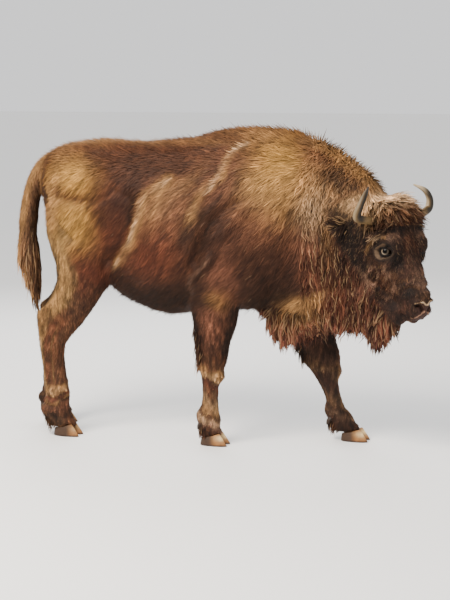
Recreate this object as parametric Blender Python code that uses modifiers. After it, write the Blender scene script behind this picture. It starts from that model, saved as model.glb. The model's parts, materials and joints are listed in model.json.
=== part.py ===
"""A European bison bull, life size and standing, as separate solids for a museum model.

Metres, +Z up. The bull faces +X, its left side is +Y, and its soles are at Z = 0. The body is
modelled whole from lofts, joined by a voxel remesh, then parted by thin cuts into its named pieces.
Horns, ears, eyes, claws and tail are pieces of their own, let into the body with a small gap.
"""

import math

import bmesh
import bpy
from mathutils import Matrix, Vector

GAP = 0.0004  # between the body's pieces
SEAT_GAP = 0.001  # round what is let into the body
VOXEL = 0.013  # grain of the joined body before it is thinned
BODY_TRIANGLES = 4000
RING = 24  # points round a body section
BALL_ROWS = 9  # sections of a ball

# Head pose: the point midway between the eyes, and how the face is held.
EYE_LINE = Vector((1.047, -0.250, 1.147))
HEAD_TURN = math.radians(-38)  # to the bull's right
FACE_PITCH = math.radians(60)  # the face below the horizontal
HEAD_TILT = math.radians(1.5)  # right eye lower
HEAD_POSE = (
    Matrix.Translation(EYE_LINE)
    @ Matrix.Rotation(HEAD_TURN, 4, "Z")
    @ Matrix.Rotation(FACE_PITCH, 4, "Y")
    @ Matrix.Rotation(HEAD_TILT, 4, "Z")
)
# In the head's own frame X runs down the face, +Y is the bull's left, and Z stands out of the forehead.

EYE_RADIUS = 0.033
EYE_HALF_SPAN = 0.1005
EYE_FORWARD = -0.008

# Trunk sections, front to back of a standing bull: x, top, bottom, half width,
# height of the widest point (share), crest (over 1 is a narrower top), keel (the same below).
TRUNK = (
    (-1.080, 1.500, 1.330, 0.055, 0.50, 1.0, 1.0),  # pin bones
    (-1.050, 1.608, 1.265, 0.120, 0.55, 1.0, 1.0),
    (-0.980, 1.662, 1.130, 0.205, 0.55, 1.0, 1.0),
    (-0.870, 1.688, 0.980, 0.252, 0.58, 1.0, 1.0),
    (-0.700, 1.704, 0.890, 0.270, 0.62, 0.90, 1.0),  # hips
    (-0.580, 1.696, 0.804, 0.276, 0.55, 1.0, 0.95),  # loin
    (-0.440, 1.696, 0.746, 0.306, 0.46, 1.1, 0.95),
    (-0.300, 1.712, 0.717, 0.332, 0.42, 1.15, 0.95),  # deepest of the belly
    (-0.160, 1.724, 0.733, 0.330, 0.42, 1.2, 0.95),
    (-0.050, 1.760, 0.744, 0.318, 0.42, 1.35, 1.0),
    (0.090, 1.784, 0.756, 0.312, 0.44, 1.5, 1.05),  # hump
    (0.210, 1.790, 0.750, 0.312, 0.45, 1.55, 1.1),
    (0.300, 1.788, 0.735, 0.300, 0.46, 1.5, 1.15),
    (0.380, 1.776, 0.730, 0.280, 0.46, 1.4, 1.2),
    (0.460, 1.757, 0.760, 0.250, 0.48, 1.3, 1.2),
    (0.560, 1.675, 0.860, 0.180, 0.50, 1.2, 1.2),  # point of the chest
)

# Neck with its mane: centre x, y, top, bottom, half width. It bends to the bull's right.
NECK = (
    (0.300, 0.000, 1.750, 0.800, 0.250),
    (0.460, -0.010, 1.751, 0.740, 0.245),
    (0.600, -0.045, 1.706, 0.740, 0.225),
    (0.700, -0.080, 1.648, 0.760, 0.205),
    (0.790, -0.120, 1.592, 0.780, 0.192),
    (0.875, -0.165, 1.530, 0.830, 0.176),
    (0.940, -0.195, 1.424, 0.900, 0.145),
)

# Head sections in the head's frame: along the face, middle depth, half depth, half width, squareness.
HEAD = (
    (-0.335, -0.040, 0.055, 0.080, 1.0),  # top of the forelock
    (-0.305, -0.026, 0.098, 0.130, 1.0),
    (-0.240, -0.016, 0.138, 0.158, 0.95),
    (-0.160, -0.024, 0.157, 0.163, 0.9),  # horn line
    (-0.090, -0.050, 0.154, 0.152, 0.9),
    (-0.020, -0.068, 0.150, 0.140, 0.9),  # eyes
    (0.050, -0.078, 0.146, 0.124, 0.9),
    (0.120, -0.074, 0.134, 0.104, 0.85),
    (0.190, -0.058, 0.116, 0.088, 0.85),
    (0.250, -0.048, 0.100, 0.076, 0.82),
    (0.305, -0.042, 0.089, 0.072, 0.8),  # muzzle
    (0.345, -0.048, 0.074, 0.067, 0.8),
    (0.378, -0.064, 0.046, 0.048, 0.85),
)
# Bone and lids round each eye, left side of the head's frame: centre, half sizes.
ORBIT = (
    ((-0.015, 0.093, 0.042), (0.055, 0.040, 0.033)),  # before the eye
    ((-0.056, 0.103, 0.002), (0.036, 0.037, 0.046)),  # brow
    ((0.052, 0.101, -0.010), (0.030, 0.028, 0.046)),  # cheekbone
)

# Hanging hair under jaw, throat and brisket: x, y, top, bottom, half width.
FRINGE = (
    (1.097, -0.300, 0.850, 0.782, 0.040),  # chin
    (1.072, -0.294, 0.866, 0.750, 0.052),
    (1.026, -0.275, 0.880, 0.690, 0.064),
    (0.968, -0.250, 0.930, 0.625, 0.078),
    (0.915, -0.228, 0.980, 0.594, 0.090),  # tip of the beard
    (0.850, -0.205, 1.000, 0.642, 0.100),
    (0.770, -0.165, 1.000, 0.672, 0.108),
    (0.680, -0.125, 0.980, 0.650, 0.114),
    (0.580, -0.090, 0.950, 0.622, 0.114),
    (0.470, -0.055, 0.920, 0.583, 0.110),
    (0.370, -0.025, 0.900, 0.546, 0.106),  # tip of the brisket fringe
    (0.308, -0.010, 0.880, 0.570, 0.096),
    (0.250, 0.000, 0.860, 0.665, 0.080),
    (0.200, 0.000, 0.840, 0.740, 0.060),
)

# Leg sections from the trunk down to the coronet: height, rear x, front x, half width, and how much
# the section narrows to the rear (0 is an ellipse).
FORELEG = (
    (1.020, -0.150, 0.220, 0.110, 0.0),
    (0.900, -0.150, 0.172, 0.106, 0.0),
    (0.800, -0.142, 0.142, 0.100, 0.0),  # elbow
    (0.690, -0.132, 0.121, 0.090, 0.1),
    (0.600, -0.122, 0.087, 0.077, 0.2),
    (0.520, -0.112, 0.064, 0.065, 0.2),
    (0.450, -0.100, 0.042, 0.059, 0.1),  # knee
    (0.400, -0.090, 0.037, 0.057, 0.1),
    (0.344, -0.085, 0.022, 0.050, 0.1),
    (0.286, -0.084, 0.013, 0.042, 0.1),  # cannon
    (0.230, -0.092, 0.013, 0.042, 0.1),
    (0.180, -0.107, 0.017, 0.050, 0.0),  # fetlock
    (0.136, -0.110, 0.020, 0.054, 0.0),
    (0.098, -0.106, 0.025, 0.055, 0.0),
    (0.052, -0.096, 0.034, 0.055, 0.0),  # heel bulbs
)
STEPPING_FORELEG = (
    (1.020, 0.160, 0.520, 0.110, 0.0),
    (0.900, 0.220, 0.550, 0.106, 0.0),
    (0.800, 0.270, 0.575, 0.100, 0.0),
    (0.690, 0.320, 0.592, 0.088, 0.1),
    (0.600, 0.352, 0.599, 0.078, 0.3),
    (0.520, 0.374, 0.616, 0.068, 0.5),  # long hair behind the forearm
    (0.450, 0.405, 0.628, 0.060, 0.5),
    (0.400, 0.449, 0.630, 0.057, 0.3),
    (0.344, 0.491, 0.630, 0.052, 0.2),
    (0.286, 0.525, 0.634, 0.044, 0.1),
    (0.230, 0.550, 0.648, 0.042, 0.1),
    (0.180, 0.556, 0.669, 0.050, 0.0),
    (0.136, 0.562, 0.710, 0.054, 0.0),
    (0.098, 0.566, 0.742, 0.055, 0.0),
    (0.052, 0.590, 0.760, 0.055, 0.0),
)
HINDLEG = (
    (1.300, -0.880, -0.690, 0.060, 0.0),
    (1.200, -0.935, -0.640, 0.100, 0.0),
    (1.120, -0.955, -0.620, 0.118, 0.0),
    (1.000, -0.948, -0.600, 0.120, 0.0),
    (0.909, -0.944, -0.614, 0.112, 0.1),  # stifle
    (0.850, -0.970, -0.662, 0.102, 0.2),
    (0.800, -0.996, -0.692, 0.091, 0.4),
    (0.754, -1.036, -0.724, 0.078, 0.6),
    (0.716, -1.092, -0.750, 0.066, 0.65),  # point of the hock
    (0.663, -1.082, -0.790, 0.060, 0.5),
    (0.610, -1.074, -0.842, 0.058, 0.35),
    (0.542, -1.068, -0.900, 0.053, 0.3),
    (0.460, -1.056, -0.914, 0.045, 0.2),  # cannon
    (0.360, -1.048, -0.898, 0.043, 0.1),
    (0.250, -1.039, -0.880, 0.050, 0.0),
    (0.184, -1.041, -0.887, 0.056, 0.0),  # fetlock
    (0.136, -1.044, -0.874, 0.055, 0.0),
    (0.098, -1.035, -0.854, 0.055, 0.0),
    (0.052, -1.021, -0.842, 0.055, 0.0),
)

# Each leg: side (+1 is the left), sections, their shift along X at the ground and one metre up, how far
# out its top and its foot stand, its upper mass (centre, half sizes, lean in degrees), and where its
# claws' middles stand on X.
LEGS = {
    "foreleg_right": {
        "side": -1,
        "sections": FORELEG,
        "shift": (0.0, 0.0),
        "stance": (0.190, 0.160),
        "mass": ((0.150, -0.190, 1.130), (0.225, 0.130, 0.340), -14),
        "claws": 0.003,
    },
    "foreleg_left": {
        "side": 1,
        "sections": STEPPING_FORELEG,
        "shift": (0.0, 0.0),
        "stance": (0.190, 0.160),
        "mass": ((0.260, 0.190, 1.130), (0.215, 0.130, 0.340), 8),
        "claws": 0.742,
    },
    "hindleg_right": {
        "side": -1,
        "sections": HINDLEG,
        "shift": (0.0, 0.0),
        "stance": (0.176, 0.155),
        "mass": ((-0.800, -0.145, 1.200), (0.215, 0.145, 0.370), -10),
        "claws": -0.884,
    },
    "hindleg_left": {
        "side": 1,
        "sections": HINDLEG,
        "shift": (-0.155, -0.110),
        "stance": (0.176, 0.155),
        "mass": ((-0.835, 0.145, 1.200), (0.215, 0.145, 0.370), -10),
        "claws": -1.039,
    },
}

# One claw, and the cleft between the pair.
CLAW_LENGTH = 0.138
CLAW_WIDTH = 0.055
CLAW_HEIGHT = 0.072
CLEFT = 0.007
CLAW_SPLAY = math.radians(5)
TOE_SLOPE = 0.60  # share of the half length that the toe draws back by the top

# Horns, in the head's frame for the left side: down the face, out to the side, out of the forehead, radius.
LEFT_HORN = (
    (-0.150, 0.090, 0.034, 0.024),
    (-0.162, 0.158, 0.046, 0.024),
    (-0.184, 0.219, 0.041, 0.026),
    (-0.206, 0.257, 0.047, 0.026),
    (-0.245, 0.256, 0.077, 0.0215),
    (-0.286, 0.220, 0.100, 0.0160),
    (-0.327, 0.162, 0.094, 0.006),
)
RIGHT_HORN = (  # a little straighter than the left one
    (-0.150, 0.090, 0.034, 0.024),
    (-0.158, 0.158, 0.043, 0.024),
    (-0.177, 0.225, 0.034, 0.025),
    (-0.196, 0.261, 0.0405, 0.025),
    (-0.241, 0.2464, 0.083, 0.0200),
    (-0.2836, 0.214, 0.104, 0.0155),
    (-0.332, 0.1614, 0.096, 0.006),
)

# Ear, in the head's frame for the left side.
EAR_BASE = Vector((-0.185, 0.120, -0.095))
EAR_TIP = Vector((-0.250, 0.290, -0.120))
EAR_HALF_WIDTH = 0.046
EAR_HALF_THICKNESS = 0.018

# Tail: centre, radius. The first six are the dock, the rest is the tuft.
TAIL = (
    (-0.950, 0.000, 1.592, 0.054),
    (-1.030, -0.004, 1.572, 0.056),
    (-1.095, -0.010, 1.520, 0.054),
    (-1.136, -0.016, 1.440, 0.054),
    (-1.164, -0.022, 1.345, 0.053),
    (-1.178, -0.026, 1.240, 0.056),
    (-1.182, -0.032, 1.150, 0.062),
    (-1.176, -0.037, 1.060, 0.070),
    (-1.161, -0.042, 0.970, 0.062),
    (-1.144, -0.046, 0.880, 0.043),
    (-1.132, -0.050, 0.815, 0.027),
    (-1.124, -0.052, 0.768, 0.007),
)
TAIL_PARTING = 1.20  # height where the tuft begins

COLOURS = {
    "coat_light": (0.36, 0.20, 0.09),
    "coat_brown": (0.20, 0.09, 0.04),
    "coat_dark": (0.07, 0.035, 0.02),
    "mane": (0.23, 0.10, 0.05),
    "horn": (0.30, 0.24, 0.16),
    "claw": (0.42, 0.30, 0.16),
    "eye": (0.02, 0.012, 0.008),
}
SHEEN = {"horn": 0.35, "claw": 0.45, "eye": 0.08}  # roughness; hair is 0.85


def clear_scene():
    for obj in list(bpy.data.objects):
        bpy.data.objects.remove(obj)


def material(name):
    found = bpy.data.materials.get(name)
    if found:
        return found
    made = bpy.data.materials.new(name)
    made.use_nodes = True
    shader = made.node_tree.nodes["Principled BSDF"]
    shader.inputs["Base Color"].default_value = (*COLOURS[name], 1.0)
    shader.inputs["Roughness"].default_value = SHEEN.get(name, 0.85)
    shader.inputs["Metallic"].default_value = 0.0
    return made


def object_of(name, mesh, collection):
    obj = bpy.data.objects.new(name, mesh)
    collection.objects.link(obj)
    return obj


def curved(a, b, c, d, t):
    """The value at share t of the way from b to c, on a Catmull-Rom curve."""
    square = 2 * a - 5 * b + 4 * c - d
    cube = 3 * b - a - 3 * c + d
    return 0.5 * (2 * b + (c - a) * t + square * t**2 + cube * t**3)


def between(rows, steps):
    """The rows with steps - 1 more between each two, on smooth curves through them."""
    ends = [rows[0], *rows, rows[-1]]
    made = []
    for four in zip(ends, ends[1:], ends[2:], ends[3:]):
        for step in range(steps):
            made.append(tuple(curved(*values, step / steps) for values in zip(*four)))
    return [*made, tuple(rows[-1])]


def signed_power(value, power):
    return math.copysign(abs(value) ** power, value)


def add_loft(bm, rings):
    """Joins rings of equally many points with quads, and closes both ends with a fan."""
    loops = [[bm.verts.new(point) for point in ring] for ring in rings]
    count = len(loops[0])
    for lower, upper in zip(loops, loops[1:]):
        for i in range(count):
            j = (i + 1) % count
            bm.faces.new((lower[i], lower[j], upper[j], upper[i]))
    for loop, flip in ((loops[0], True), (loops[-1], False)):
        middle = bm.verts.new(sum((v.co for v in loop), Vector()) / count)
        for i in range(count):
            corners = (loop[i], loop[(i + 1) % count], middle)
            bm.faces.new(corners[::-1] if flip else corners)


def loft_mesh(name, *sets_of_rings):
    """One mesh of several closed lofts, each with its faces pointing out."""
    bm = bmesh.new()
    for rings in sets_of_rings:
        part = bmesh.new()
        add_loft(part, rings)
        if part.calc_volume(signed=True) < 0:
            bmesh.ops.reverse_faces(part, faces=part.faces)
        piece = bpy.data.meshes.new("loft")
        part.to_mesh(piece)
        part.free()
        bm.from_mesh(piece)
        bpy.data.meshes.remove(piece)
    mesh = bpy.data.meshes.new(name)
    bm.to_mesh(mesh)
    bm.free()
    return mesh


def angles(count):
    return [2 * math.pi * i / count for i in range(count)]


def upright_section(centre_x, centre_y, turn, top, bottom, half_width, widest, crest, keel):
    """A section across the body, upright, turned about Z: widest part way up, narrowed above and below."""
    middle = bottom + (top - bottom) * widest
    ring = []
    for angle in angles(RING):
        across, up = math.cos(angle), math.sin(angle)
        side = half_width * signed_power(across, crest if up > 0 else keel)
        height = middle + up * (top - middle if up > 0 else middle - bottom)
        ring.append(Vector((centre_x - side * math.sin(turn), centre_y + side * math.cos(turn), height)))
    return ring


def tube_rings(rows, count):
    """Round sections square to the path through rows of (x, y, z, radius), carried along without twist."""
    points = [Vector(row[:3]) for row in rows]
    side = Vector((0, 1, 0))
    rings = []
    for i, row in enumerate(rows):
        along = (points[min(i + 1, len(rows) - 1)] - points[max(i - 1, 0)]).normalized()
        side = (side - along * side.dot(along)).normalized()
        up = side.cross(along)
        rings.append([points[i] + row[3] * (math.cos(a) * side + math.sin(a) * up) for a in angles(count)])
    return rings


def ellipsoid_rings(centre, half_sizes, tilt=0.0):
    """A ball of three half sizes, leaned fore and aft by tilt degrees."""
    lean = Matrix.Rotation(math.radians(tilt), 3, "Y")
    rings = []
    for row in range(BALL_ROWS):
        polar = math.pi * (row + 0.5) / BALL_ROWS
        ring = [
            Vector(
                (
                    half_sizes[0] * math.sin(polar) * math.cos(a),
                    half_sizes[1] * math.sin(polar) * math.sin(a),
                    half_sizes[2] * math.cos(polar),
                )
            )
            for a in angles(16)
        ]
        rings.append([lean @ point + Vector(centre) for point in ring])
    return rings


def in_head(point, side=1):
    """A point of the head's frame, mirrored for side -1, in the model's frame."""
    return HEAD_POSE @ Vector((point[0], point[1] * side, point[2]))


def trunk_rings():
    return [
        upright_section(x, 0.0, 0.0, top, bottom, half, widest, crest, keel)
        for x, top, bottom, half, widest, crest, keel in between(TRUNK, 2)
    ]


def turned_rings(rows, crest, keel, widest):
    """Upright sections along a path in plan, each turned square to it."""
    places = between(rows, 2)
    rings = []
    for i, (x, y, top, bottom, half) in enumerate(places):
        after, before = places[min(i + 1, len(places) - 1)], places[max(i - 1, 0)]
        turn = math.atan2(after[1] - before[1], after[0] - before[0])
        if rows[0][0] > rows[-1][0]:
            turn += math.pi
        rings.append(upright_section(x, y, turn, top, bottom, half, widest, crest, keel))
    return rings


def head_rings():
    rings = []
    for along, middle, depth, half, square in between(HEAD, 2):
        rings.append(
            [
                in_head(
                    (
                        along,
                        half * signed_power(math.cos(angle), square),
                        middle + depth * signed_power(math.sin(angle), square),
                    )
                )
                for angle in angles(RING)
            ]
        )
    return rings


def orbit_rings(side):
    """The bulges of bone round one eye, in the head's frame and then placed."""
    balls = []
    for (along, out, forward), half_sizes in ORBIT:
        rings = ellipsoid_rings((along, out * side, forward), half_sizes)
        balls.append([[in_head(point) for point in ring] for ring in rings])
    return balls


def leg_rings(leg):
    """Level sections down a leg, narrowed to the rear where tendons or hair make an edge."""
    rings = []
    at_ground, at_a_metre = leg["shift"]
    out_above, out_below = leg["stance"]
    for height, rear, front, half_width, pinch in between(leg["sections"], 1):
        shift = at_ground + (at_a_metre - at_ground) * height
        out = leg["side"] * (out_below + (out_above - out_below) * min(height / 0.8, 1.0))
        middle, half_length = (rear + front) / 2 + shift, (front - rear) / 2
        ring = []
        for angle in angles(16):
            half = half_width * (1 - pinch * max(-math.cos(angle), 0.0))
            ring.append(Vector((middle + half_length * math.cos(angle), out + half * math.sin(angle), height)))
        rings.append(ring)
    return rings


def body_mesh():
    lofts = [
        trunk_rings(),
        turned_rings(NECK, 1.25, 1.15, 0.50),
        head_rings(),
        *orbit_rings(-1),
        *orbit_rings(1),
        turned_rings(FRINGE, 0.9, 1.5, 0.75),
    ]
    for leg in LEGS.values():
        lofts.append(leg_rings(leg))
        lofts.append(ellipsoid_rings(*leg["mass"]))
    return loft_mesh("body", *lofts)


def applied(obj, collection):
    """A new object with obj's modifiers applied. obj is removed."""
    graph = bpy.context.evaluated_depsgraph_get()
    mesh = bpy.data.meshes.new_from_object(obj.evaluated_get(graph))
    name = obj.name
    bpy.data.objects.remove(obj)
    return object_of(name, mesh, collection)


def joined_body(collection):
    """All the body's lofts as one closed surface, smoothed, and thinned most where it is flattest."""
    body = object_of("body", body_mesh(), collection)
    remesh = body.modifiers.new("join", "REMESH")
    remesh.mode = "VOXEL"
    remesh.voxel_size = VOXEL
    smooth = body.modifiers.new("smooth", "SMOOTH")
    smooth.factor = 0.5
    smooth.iterations = 8
    body = applied(body, collection)
    decimate = body.modifiers.new("thin", "DECIMATE")
    decimate.ratio = BODY_TRIANGLES / (2 * len(body.data.polygons))
    return applied(body, collection)


def boolean(obj, other, operation, collection):
    modifier = obj.modifiers.new("cut", "BOOLEAN")
    modifier.operation = operation
    modifier.object = other
    modifier.solver = "EXACT"
    return applied(obj, collection)


def box_object(name, size, pose, collection):
    bm = bmesh.new()
    bmesh.ops.create_cube(bm, size=1.0, matrix=pose @ Matrix.Diagonal((*size, 1.0)))
    mesh = bpy.data.meshes.new(name)
    bm.to_mesh(mesh)
    bm.free()
    obj = object_of(name, mesh, collection)
    obj.hide_render = True
    obj.display_type = "WIRE"
    return obj


def part_off(body, name, low, high, pose, collection, cutters, look):
    """Cuts the piece of the body inside a box off it. Returns the piece and what is left."""
    low, high = Vector(low), Vector(high)
    middle = pose @ Matrix.Translation((low + high) / 2)
    inner = box_object(name + "_box", high - low, middle, cutters)
    outer = box_object(name + "_gap", high - low + 2 * GAP * Vector((1, 1, 1)), middle, cutters)
    piece = object_of(name, body.data.copy(), collection)
    piece = boolean(piece, inner, "INTERSECT", collection)
    body = boolean(body, outer, "DIFFERENCE", collection)
    dress(piece, look)
    for cutter in (inner, outer):
        bpy.data.objects.remove(cutter)
    return piece, body


def grown(obj, amount, collection):
    """A copy of a solid with every face moved out by amount, as a cutter."""
    copy = object_of(obj.name + "_cutter", obj.data.copy(), collection)
    copy.data.update()
    normals = [vertex.normal.copy() for vertex in copy.data.vertices]
    for vertex, normal in zip(copy.data.vertices, normals):
        vertex.co += normal * amount
    copy.hide_render = True
    copy.display_type = "WIRE"
    return copy


def let_in(host, guests, collection, cutters):
    """Cuts a seat for each guest out of the host."""
    for guest in guests:
        cutter = grown(guest, SEAT_GAP, cutters)
        host = boolean(host, cutter, "DIFFERENCE", collection)
        bpy.data.objects.remove(cutter)
    return host


def dress(obj, look):
    obj.data.materials.clear()
    obj.data.materials.append(material(look))
    for polygon in obj.data.polygons:
        polygon.use_smooth = True


def make_horn(name, side, collection):
    rows = [(*in_head(row[:3], side), row[3]) for row in between(LEFT_HORN if side > 0 else RIGHT_HORN, 2)]
    obj = object_of(name, loft_mesh(name, tube_rings(rows, 8)), collection)
    dress(obj, "horn")
    return obj


def make_eye(name, side, collection):
    bm = bmesh.new()
    place = Matrix.Translation(in_head((0.0, EYE_HALF_SPAN, EYE_FORWARD), side))
    bmesh.ops.create_uvsphere(bm, u_segments=10, v_segments=7, radius=EYE_RADIUS, matrix=place)
    mesh = bpy.data.meshes.new(name)
    bm.to_mesh(mesh)
    bm.free()
    obj = object_of(name, mesh, collection)
    dress(obj, "eye")
    return obj


def make_ear(name, side, collection):
    """A leaf, cupped along its lower front face, widest a third of the way out."""
    rings = []
    outwards = (EAR_TIP - EAR_BASE).normalized()
    broad = Vector((0.75, 0.0, -0.35)).normalized()
    thin = outwards.cross(broad).normalized()
    for step in range(7):
        share = step / 6
        swell = math.sin(math.pi * (0.16 + 0.80 * share)) ** 0.8
        centre = EAR_BASE.lerp(EAR_TIP, share) + Vector((0.018 * share**2, 0, 0))
        ring = []
        for a in angles(10):
            across, lift = math.cos(a), math.sin(a)
            cup = 0.55 * EAR_HALF_WIDTH * swell * across**2
            ring.append(
                in_head(
                    centre
                    + broad * EAR_HALF_WIDTH * swell * across
                    + thin * (EAR_HALF_THICKNESS * (0.5 + 0.5 * swell) * lift + cup),
                    side,
                )
            )
        rings.append(ring)
    obj = object_of(name, loft_mesh(name, rings), collection)
    dress(obj, "coat_dark")
    return obj


def claw_rings(origin, side):
    """One claw: a flat sole, a sloping toe and a lower heel. side is +1 for the left claw of the pair."""
    splay = Matrix.Rotation(CLAW_SPLAY * side, 3, "Z")
    rings = []
    for level in (0.0, 0.14, 1.0):
        ring = []
        for a in angles(12):
            along, across = math.cos(a), math.sin(a)
            draw_back = TOE_SLOPE * level if along > 0 else 0.10 * level
            x = CLAW_LENGTH / 2 * along * (1 - draw_back)
            narrow = 1 - 0.30 * max(along, 0) ** 2
            inner = 0.82 if across * side < 0 else 1.0
            y = CLAW_WIDTH / 2 * across * narrow * inner * (1 - 0.12 * level)
            z = level * CLAW_HEIGHT * (0.82 + 0.18 * along)
            edge = 0.003 if level == 0 else 0.0
            ring.append(splay @ Vector((x - edge * along, y - edge * across, z)) + origin)
        rings.append(ring)
    return rings


def make_claws(leg_name, leg, collection):
    made = []
    for side, word in ((1, "left"), (-1, "right")):
        across = leg["side"] * leg["stance"][1] + side * (CLAW_WIDTH + CLEFT) / 2
        name = f"{leg_name}_claw_{word}"
        rings = claw_rings(Vector((leg["claws"], across, 0.0)), side)
        obj = object_of(name, loft_mesh(name, rings), collection)
        dress(obj, "claw")
        made.append(obj)
    return made


def make_dewclaws(leg_name, leg, collection):
    """The two small claws behind the fetlock."""
    rear = leg["sections"][-3][1] + leg["shift"][0]
    made = []
    for side, word in ((1, "left"), (-1, "right")):
        root = Vector((rear + 0.032, leg["side"] * leg["stance"][1] + side * 0.026, 0.130))
        rows = [
            (*root, 0.015),
            (*(root + Vector((-0.020, side * 0.005, -0.016))), 0.015),
            (*(root + Vector((-0.026, side * 0.006, -0.040))), 0.005),
        ]
        name = f"{leg_name}_dewclaw_{word}"
        obj = object_of(name, loft_mesh(name, tube_rings(rows, 6)), collection)
        dress(obj, "claw")
        made.append(obj)
    return made


def make_tail(collection, cutters):
    rows = between(TAIL, 2)
    whole = object_of("tail", loft_mesh("tail", tube_rings(rows, 9)), collection)
    low, high = (-1.4, -0.3, 0.5), (-0.9, 0.3, TAIL_PARTING)
    tuft, dock = part_off(whole, "tail_tuft", low, high, Matrix.Identity(4), collection, cutters, "mane")
    dock.name = "tail_dock"
    dress(dock, "coat_brown")
    return dock, tuft


def cut_body(body, collection, cutters):
    """Parts the body with thin cuts. Each row: name, box corners, the box's pose, look."""
    flat = Matrix.Identity(4)
    groin = Matrix.Translation((-0.648, 0, 0.880)) @ Matrix.Rotation(math.radians(45), 4, "Y")
    elbow = Matrix.Translation((0.0, 0, 0.80)) @ Matrix.Rotation(math.radians(-6), 4, "Y")
    stepping_elbow = Matrix.Translation((0.43, 0, 0.77)) @ Matrix.Rotation(math.radians(16), 4, "Y")
    rows = (
        ("head", (-0.37, -0.3, -0.190), (0.60, 0.3, 0.4), HEAD_POSE, "coat_dark"),
        ("beard", (0.820, -0.6, 0.4), (1.4, 0.2, 0.860), flat, "mane"),
        ("foreleg_right", (-0.20, -0.5, -1.2), (0.19, -0.040, 0.0), elbow, "coat_brown"),
        ("foreleg_left", (-0.34, 0.080, -1.2), (0.60, 0.5, 0.0), stepping_elbow, "coat_brown"),
        ("hindleg_right", (-0.8, -0.6, -1.3), (0.45, -0.015, 0.0), groin, "coat_light"),
        ("hindleg_left", (-0.8, 0.015, -1.3), (0.45, 0.6, 0.0), groin, "coat_light"),
        ("chest_mane", (0.15, -0.5, 0.4), (1.4, 0.078, 0.770), flat, "mane"),
        ("neck", (0.50, -0.6, 0.3), (1.4, 0.4, 2.0), flat, "mane"),
    )
    pieces = {}
    for name, low, high, pose, look in rows:
        pieces[name], body = part_off(body, name, low, high, pose, collection, cutters, look)
    body.name = "trunk"
    dress(body, "coat_brown")
    pieces["trunk"] = body
    return pieces


def centre_on_floor(objects):
    """Moves the model so that its box stands on the origin: X and Y to its middle, Z left at the soles."""
    corners = [obj.matrix_world @ Vector(corner) for obj in objects for corner in obj.bound_box]
    shift = Vector(
        (
            -(min(c.x for c in corners) + max(c.x for c in corners)) / 2,
            -(min(c.y for c in corners) + max(c.y for c in corners)) / 2,
            -min(c.z for c in corners),
        )
    )
    for obj in objects:
        obj.data.transform(Matrix.Translation(shift))


def main():
    clear_scene()
    collection = bpy.data.collections.new("european_bison_bull")
    cutters = bpy.data.collections.new("cutters")
    for made in (collection, cutters):
        bpy.context.scene.collection.children.link(made)

    body = joined_body(collection)
    dock, tuft = make_tail(collection, cutters)
    horns = [make_horn(f"horn_{word}", side, collection) for word, side in (("left", 1), ("right", -1))]
    ears = [make_ear(f"ear_{word}", side, collection) for word, side in (("left", 1), ("right", -1))]
    eyes = [make_eye(f"eye_{word}", side, collection) for word, side in (("left", 1), ("right", -1))]
    claws = [claw for name, leg in LEGS.items() for claw in make_claws(name, leg, collection)]
    dewclaws = [claw for name, leg in LEGS.items() for claw in make_dewclaws(name, leg, collection)]

    guests = [dock, *horns, *ears, *eyes, *claws, *dewclaws]
    body = let_in(body, guests, collection, cutters)
    pieces = cut_body(body, collection, cutters)
    centre_on_floor([*pieces.values(), tuft, *guests])


main()
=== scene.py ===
import json
import math

import bpy
import numpy as np
from mathutils import Matrix, Vector
from mathutils.bvhtree import BVHTree

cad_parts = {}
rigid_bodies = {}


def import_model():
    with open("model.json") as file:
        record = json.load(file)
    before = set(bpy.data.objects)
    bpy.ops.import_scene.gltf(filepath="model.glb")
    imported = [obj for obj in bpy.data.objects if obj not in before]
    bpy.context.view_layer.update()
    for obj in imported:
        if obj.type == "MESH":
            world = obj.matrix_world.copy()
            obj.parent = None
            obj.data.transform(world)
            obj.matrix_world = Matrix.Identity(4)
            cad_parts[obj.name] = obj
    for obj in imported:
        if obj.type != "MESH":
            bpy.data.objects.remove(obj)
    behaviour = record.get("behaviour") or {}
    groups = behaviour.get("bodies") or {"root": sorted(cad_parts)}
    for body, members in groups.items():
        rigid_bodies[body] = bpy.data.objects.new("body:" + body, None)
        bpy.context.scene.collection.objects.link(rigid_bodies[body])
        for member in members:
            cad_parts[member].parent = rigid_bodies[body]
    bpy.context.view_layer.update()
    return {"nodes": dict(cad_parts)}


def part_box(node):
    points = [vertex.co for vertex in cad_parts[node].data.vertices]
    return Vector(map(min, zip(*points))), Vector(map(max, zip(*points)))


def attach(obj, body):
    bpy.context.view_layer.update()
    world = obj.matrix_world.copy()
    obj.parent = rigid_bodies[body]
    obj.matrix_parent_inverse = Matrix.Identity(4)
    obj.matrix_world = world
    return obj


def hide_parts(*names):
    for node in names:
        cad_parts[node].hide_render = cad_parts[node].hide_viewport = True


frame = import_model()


# tools used all through
def linear(hexColour):
    shown = np.array([int(hexColour[i:i + 2], 16) / 255 for i in (1, 3, 5)])
    return np.where(shown <= 0.04045, shown / 12.92, ((shown + 0.055) / 1.055) ** 2.4)


def addNode(tree, kind, settings, links={}):
    made = tree.nodes.new(kind)
    for name, value in settings.items():
        if name == "stops":  # the colours along a ramp, each with its place
            elements = made.color_ramp.elements
            while len(elements) < len(value):
                elements.new(0.5)
            for element, (position, colour) in zip(elements, value):
                element.position = position
                element.color = (*linear(colour), 1.0)
        elif isinstance(name, int) or name in made.inputs:
            made.inputs[name].default_value = value
        else:
            setattr(made, name, value)
    for name, socket in links.items():
        tree.links.new(socket, made.inputs[name])
    return made


def deselectAll():
    for thing in bpy.context.selected_objects:
        thing.select_set(False)


def pick(thing):
    deselectAll()
    thing.select_set(True)
    bpy.context.view_layer.objects.active = thing


def useModifier(thing, kind, settings):
    pick(thing)
    modifier = thing.modifiers.new(kind.lower(), kind)
    for name, value in settings.items():
        setattr(modifier, name, value)
    bpy.ops.object.modifier_apply(modifier=modifier.name)


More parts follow.
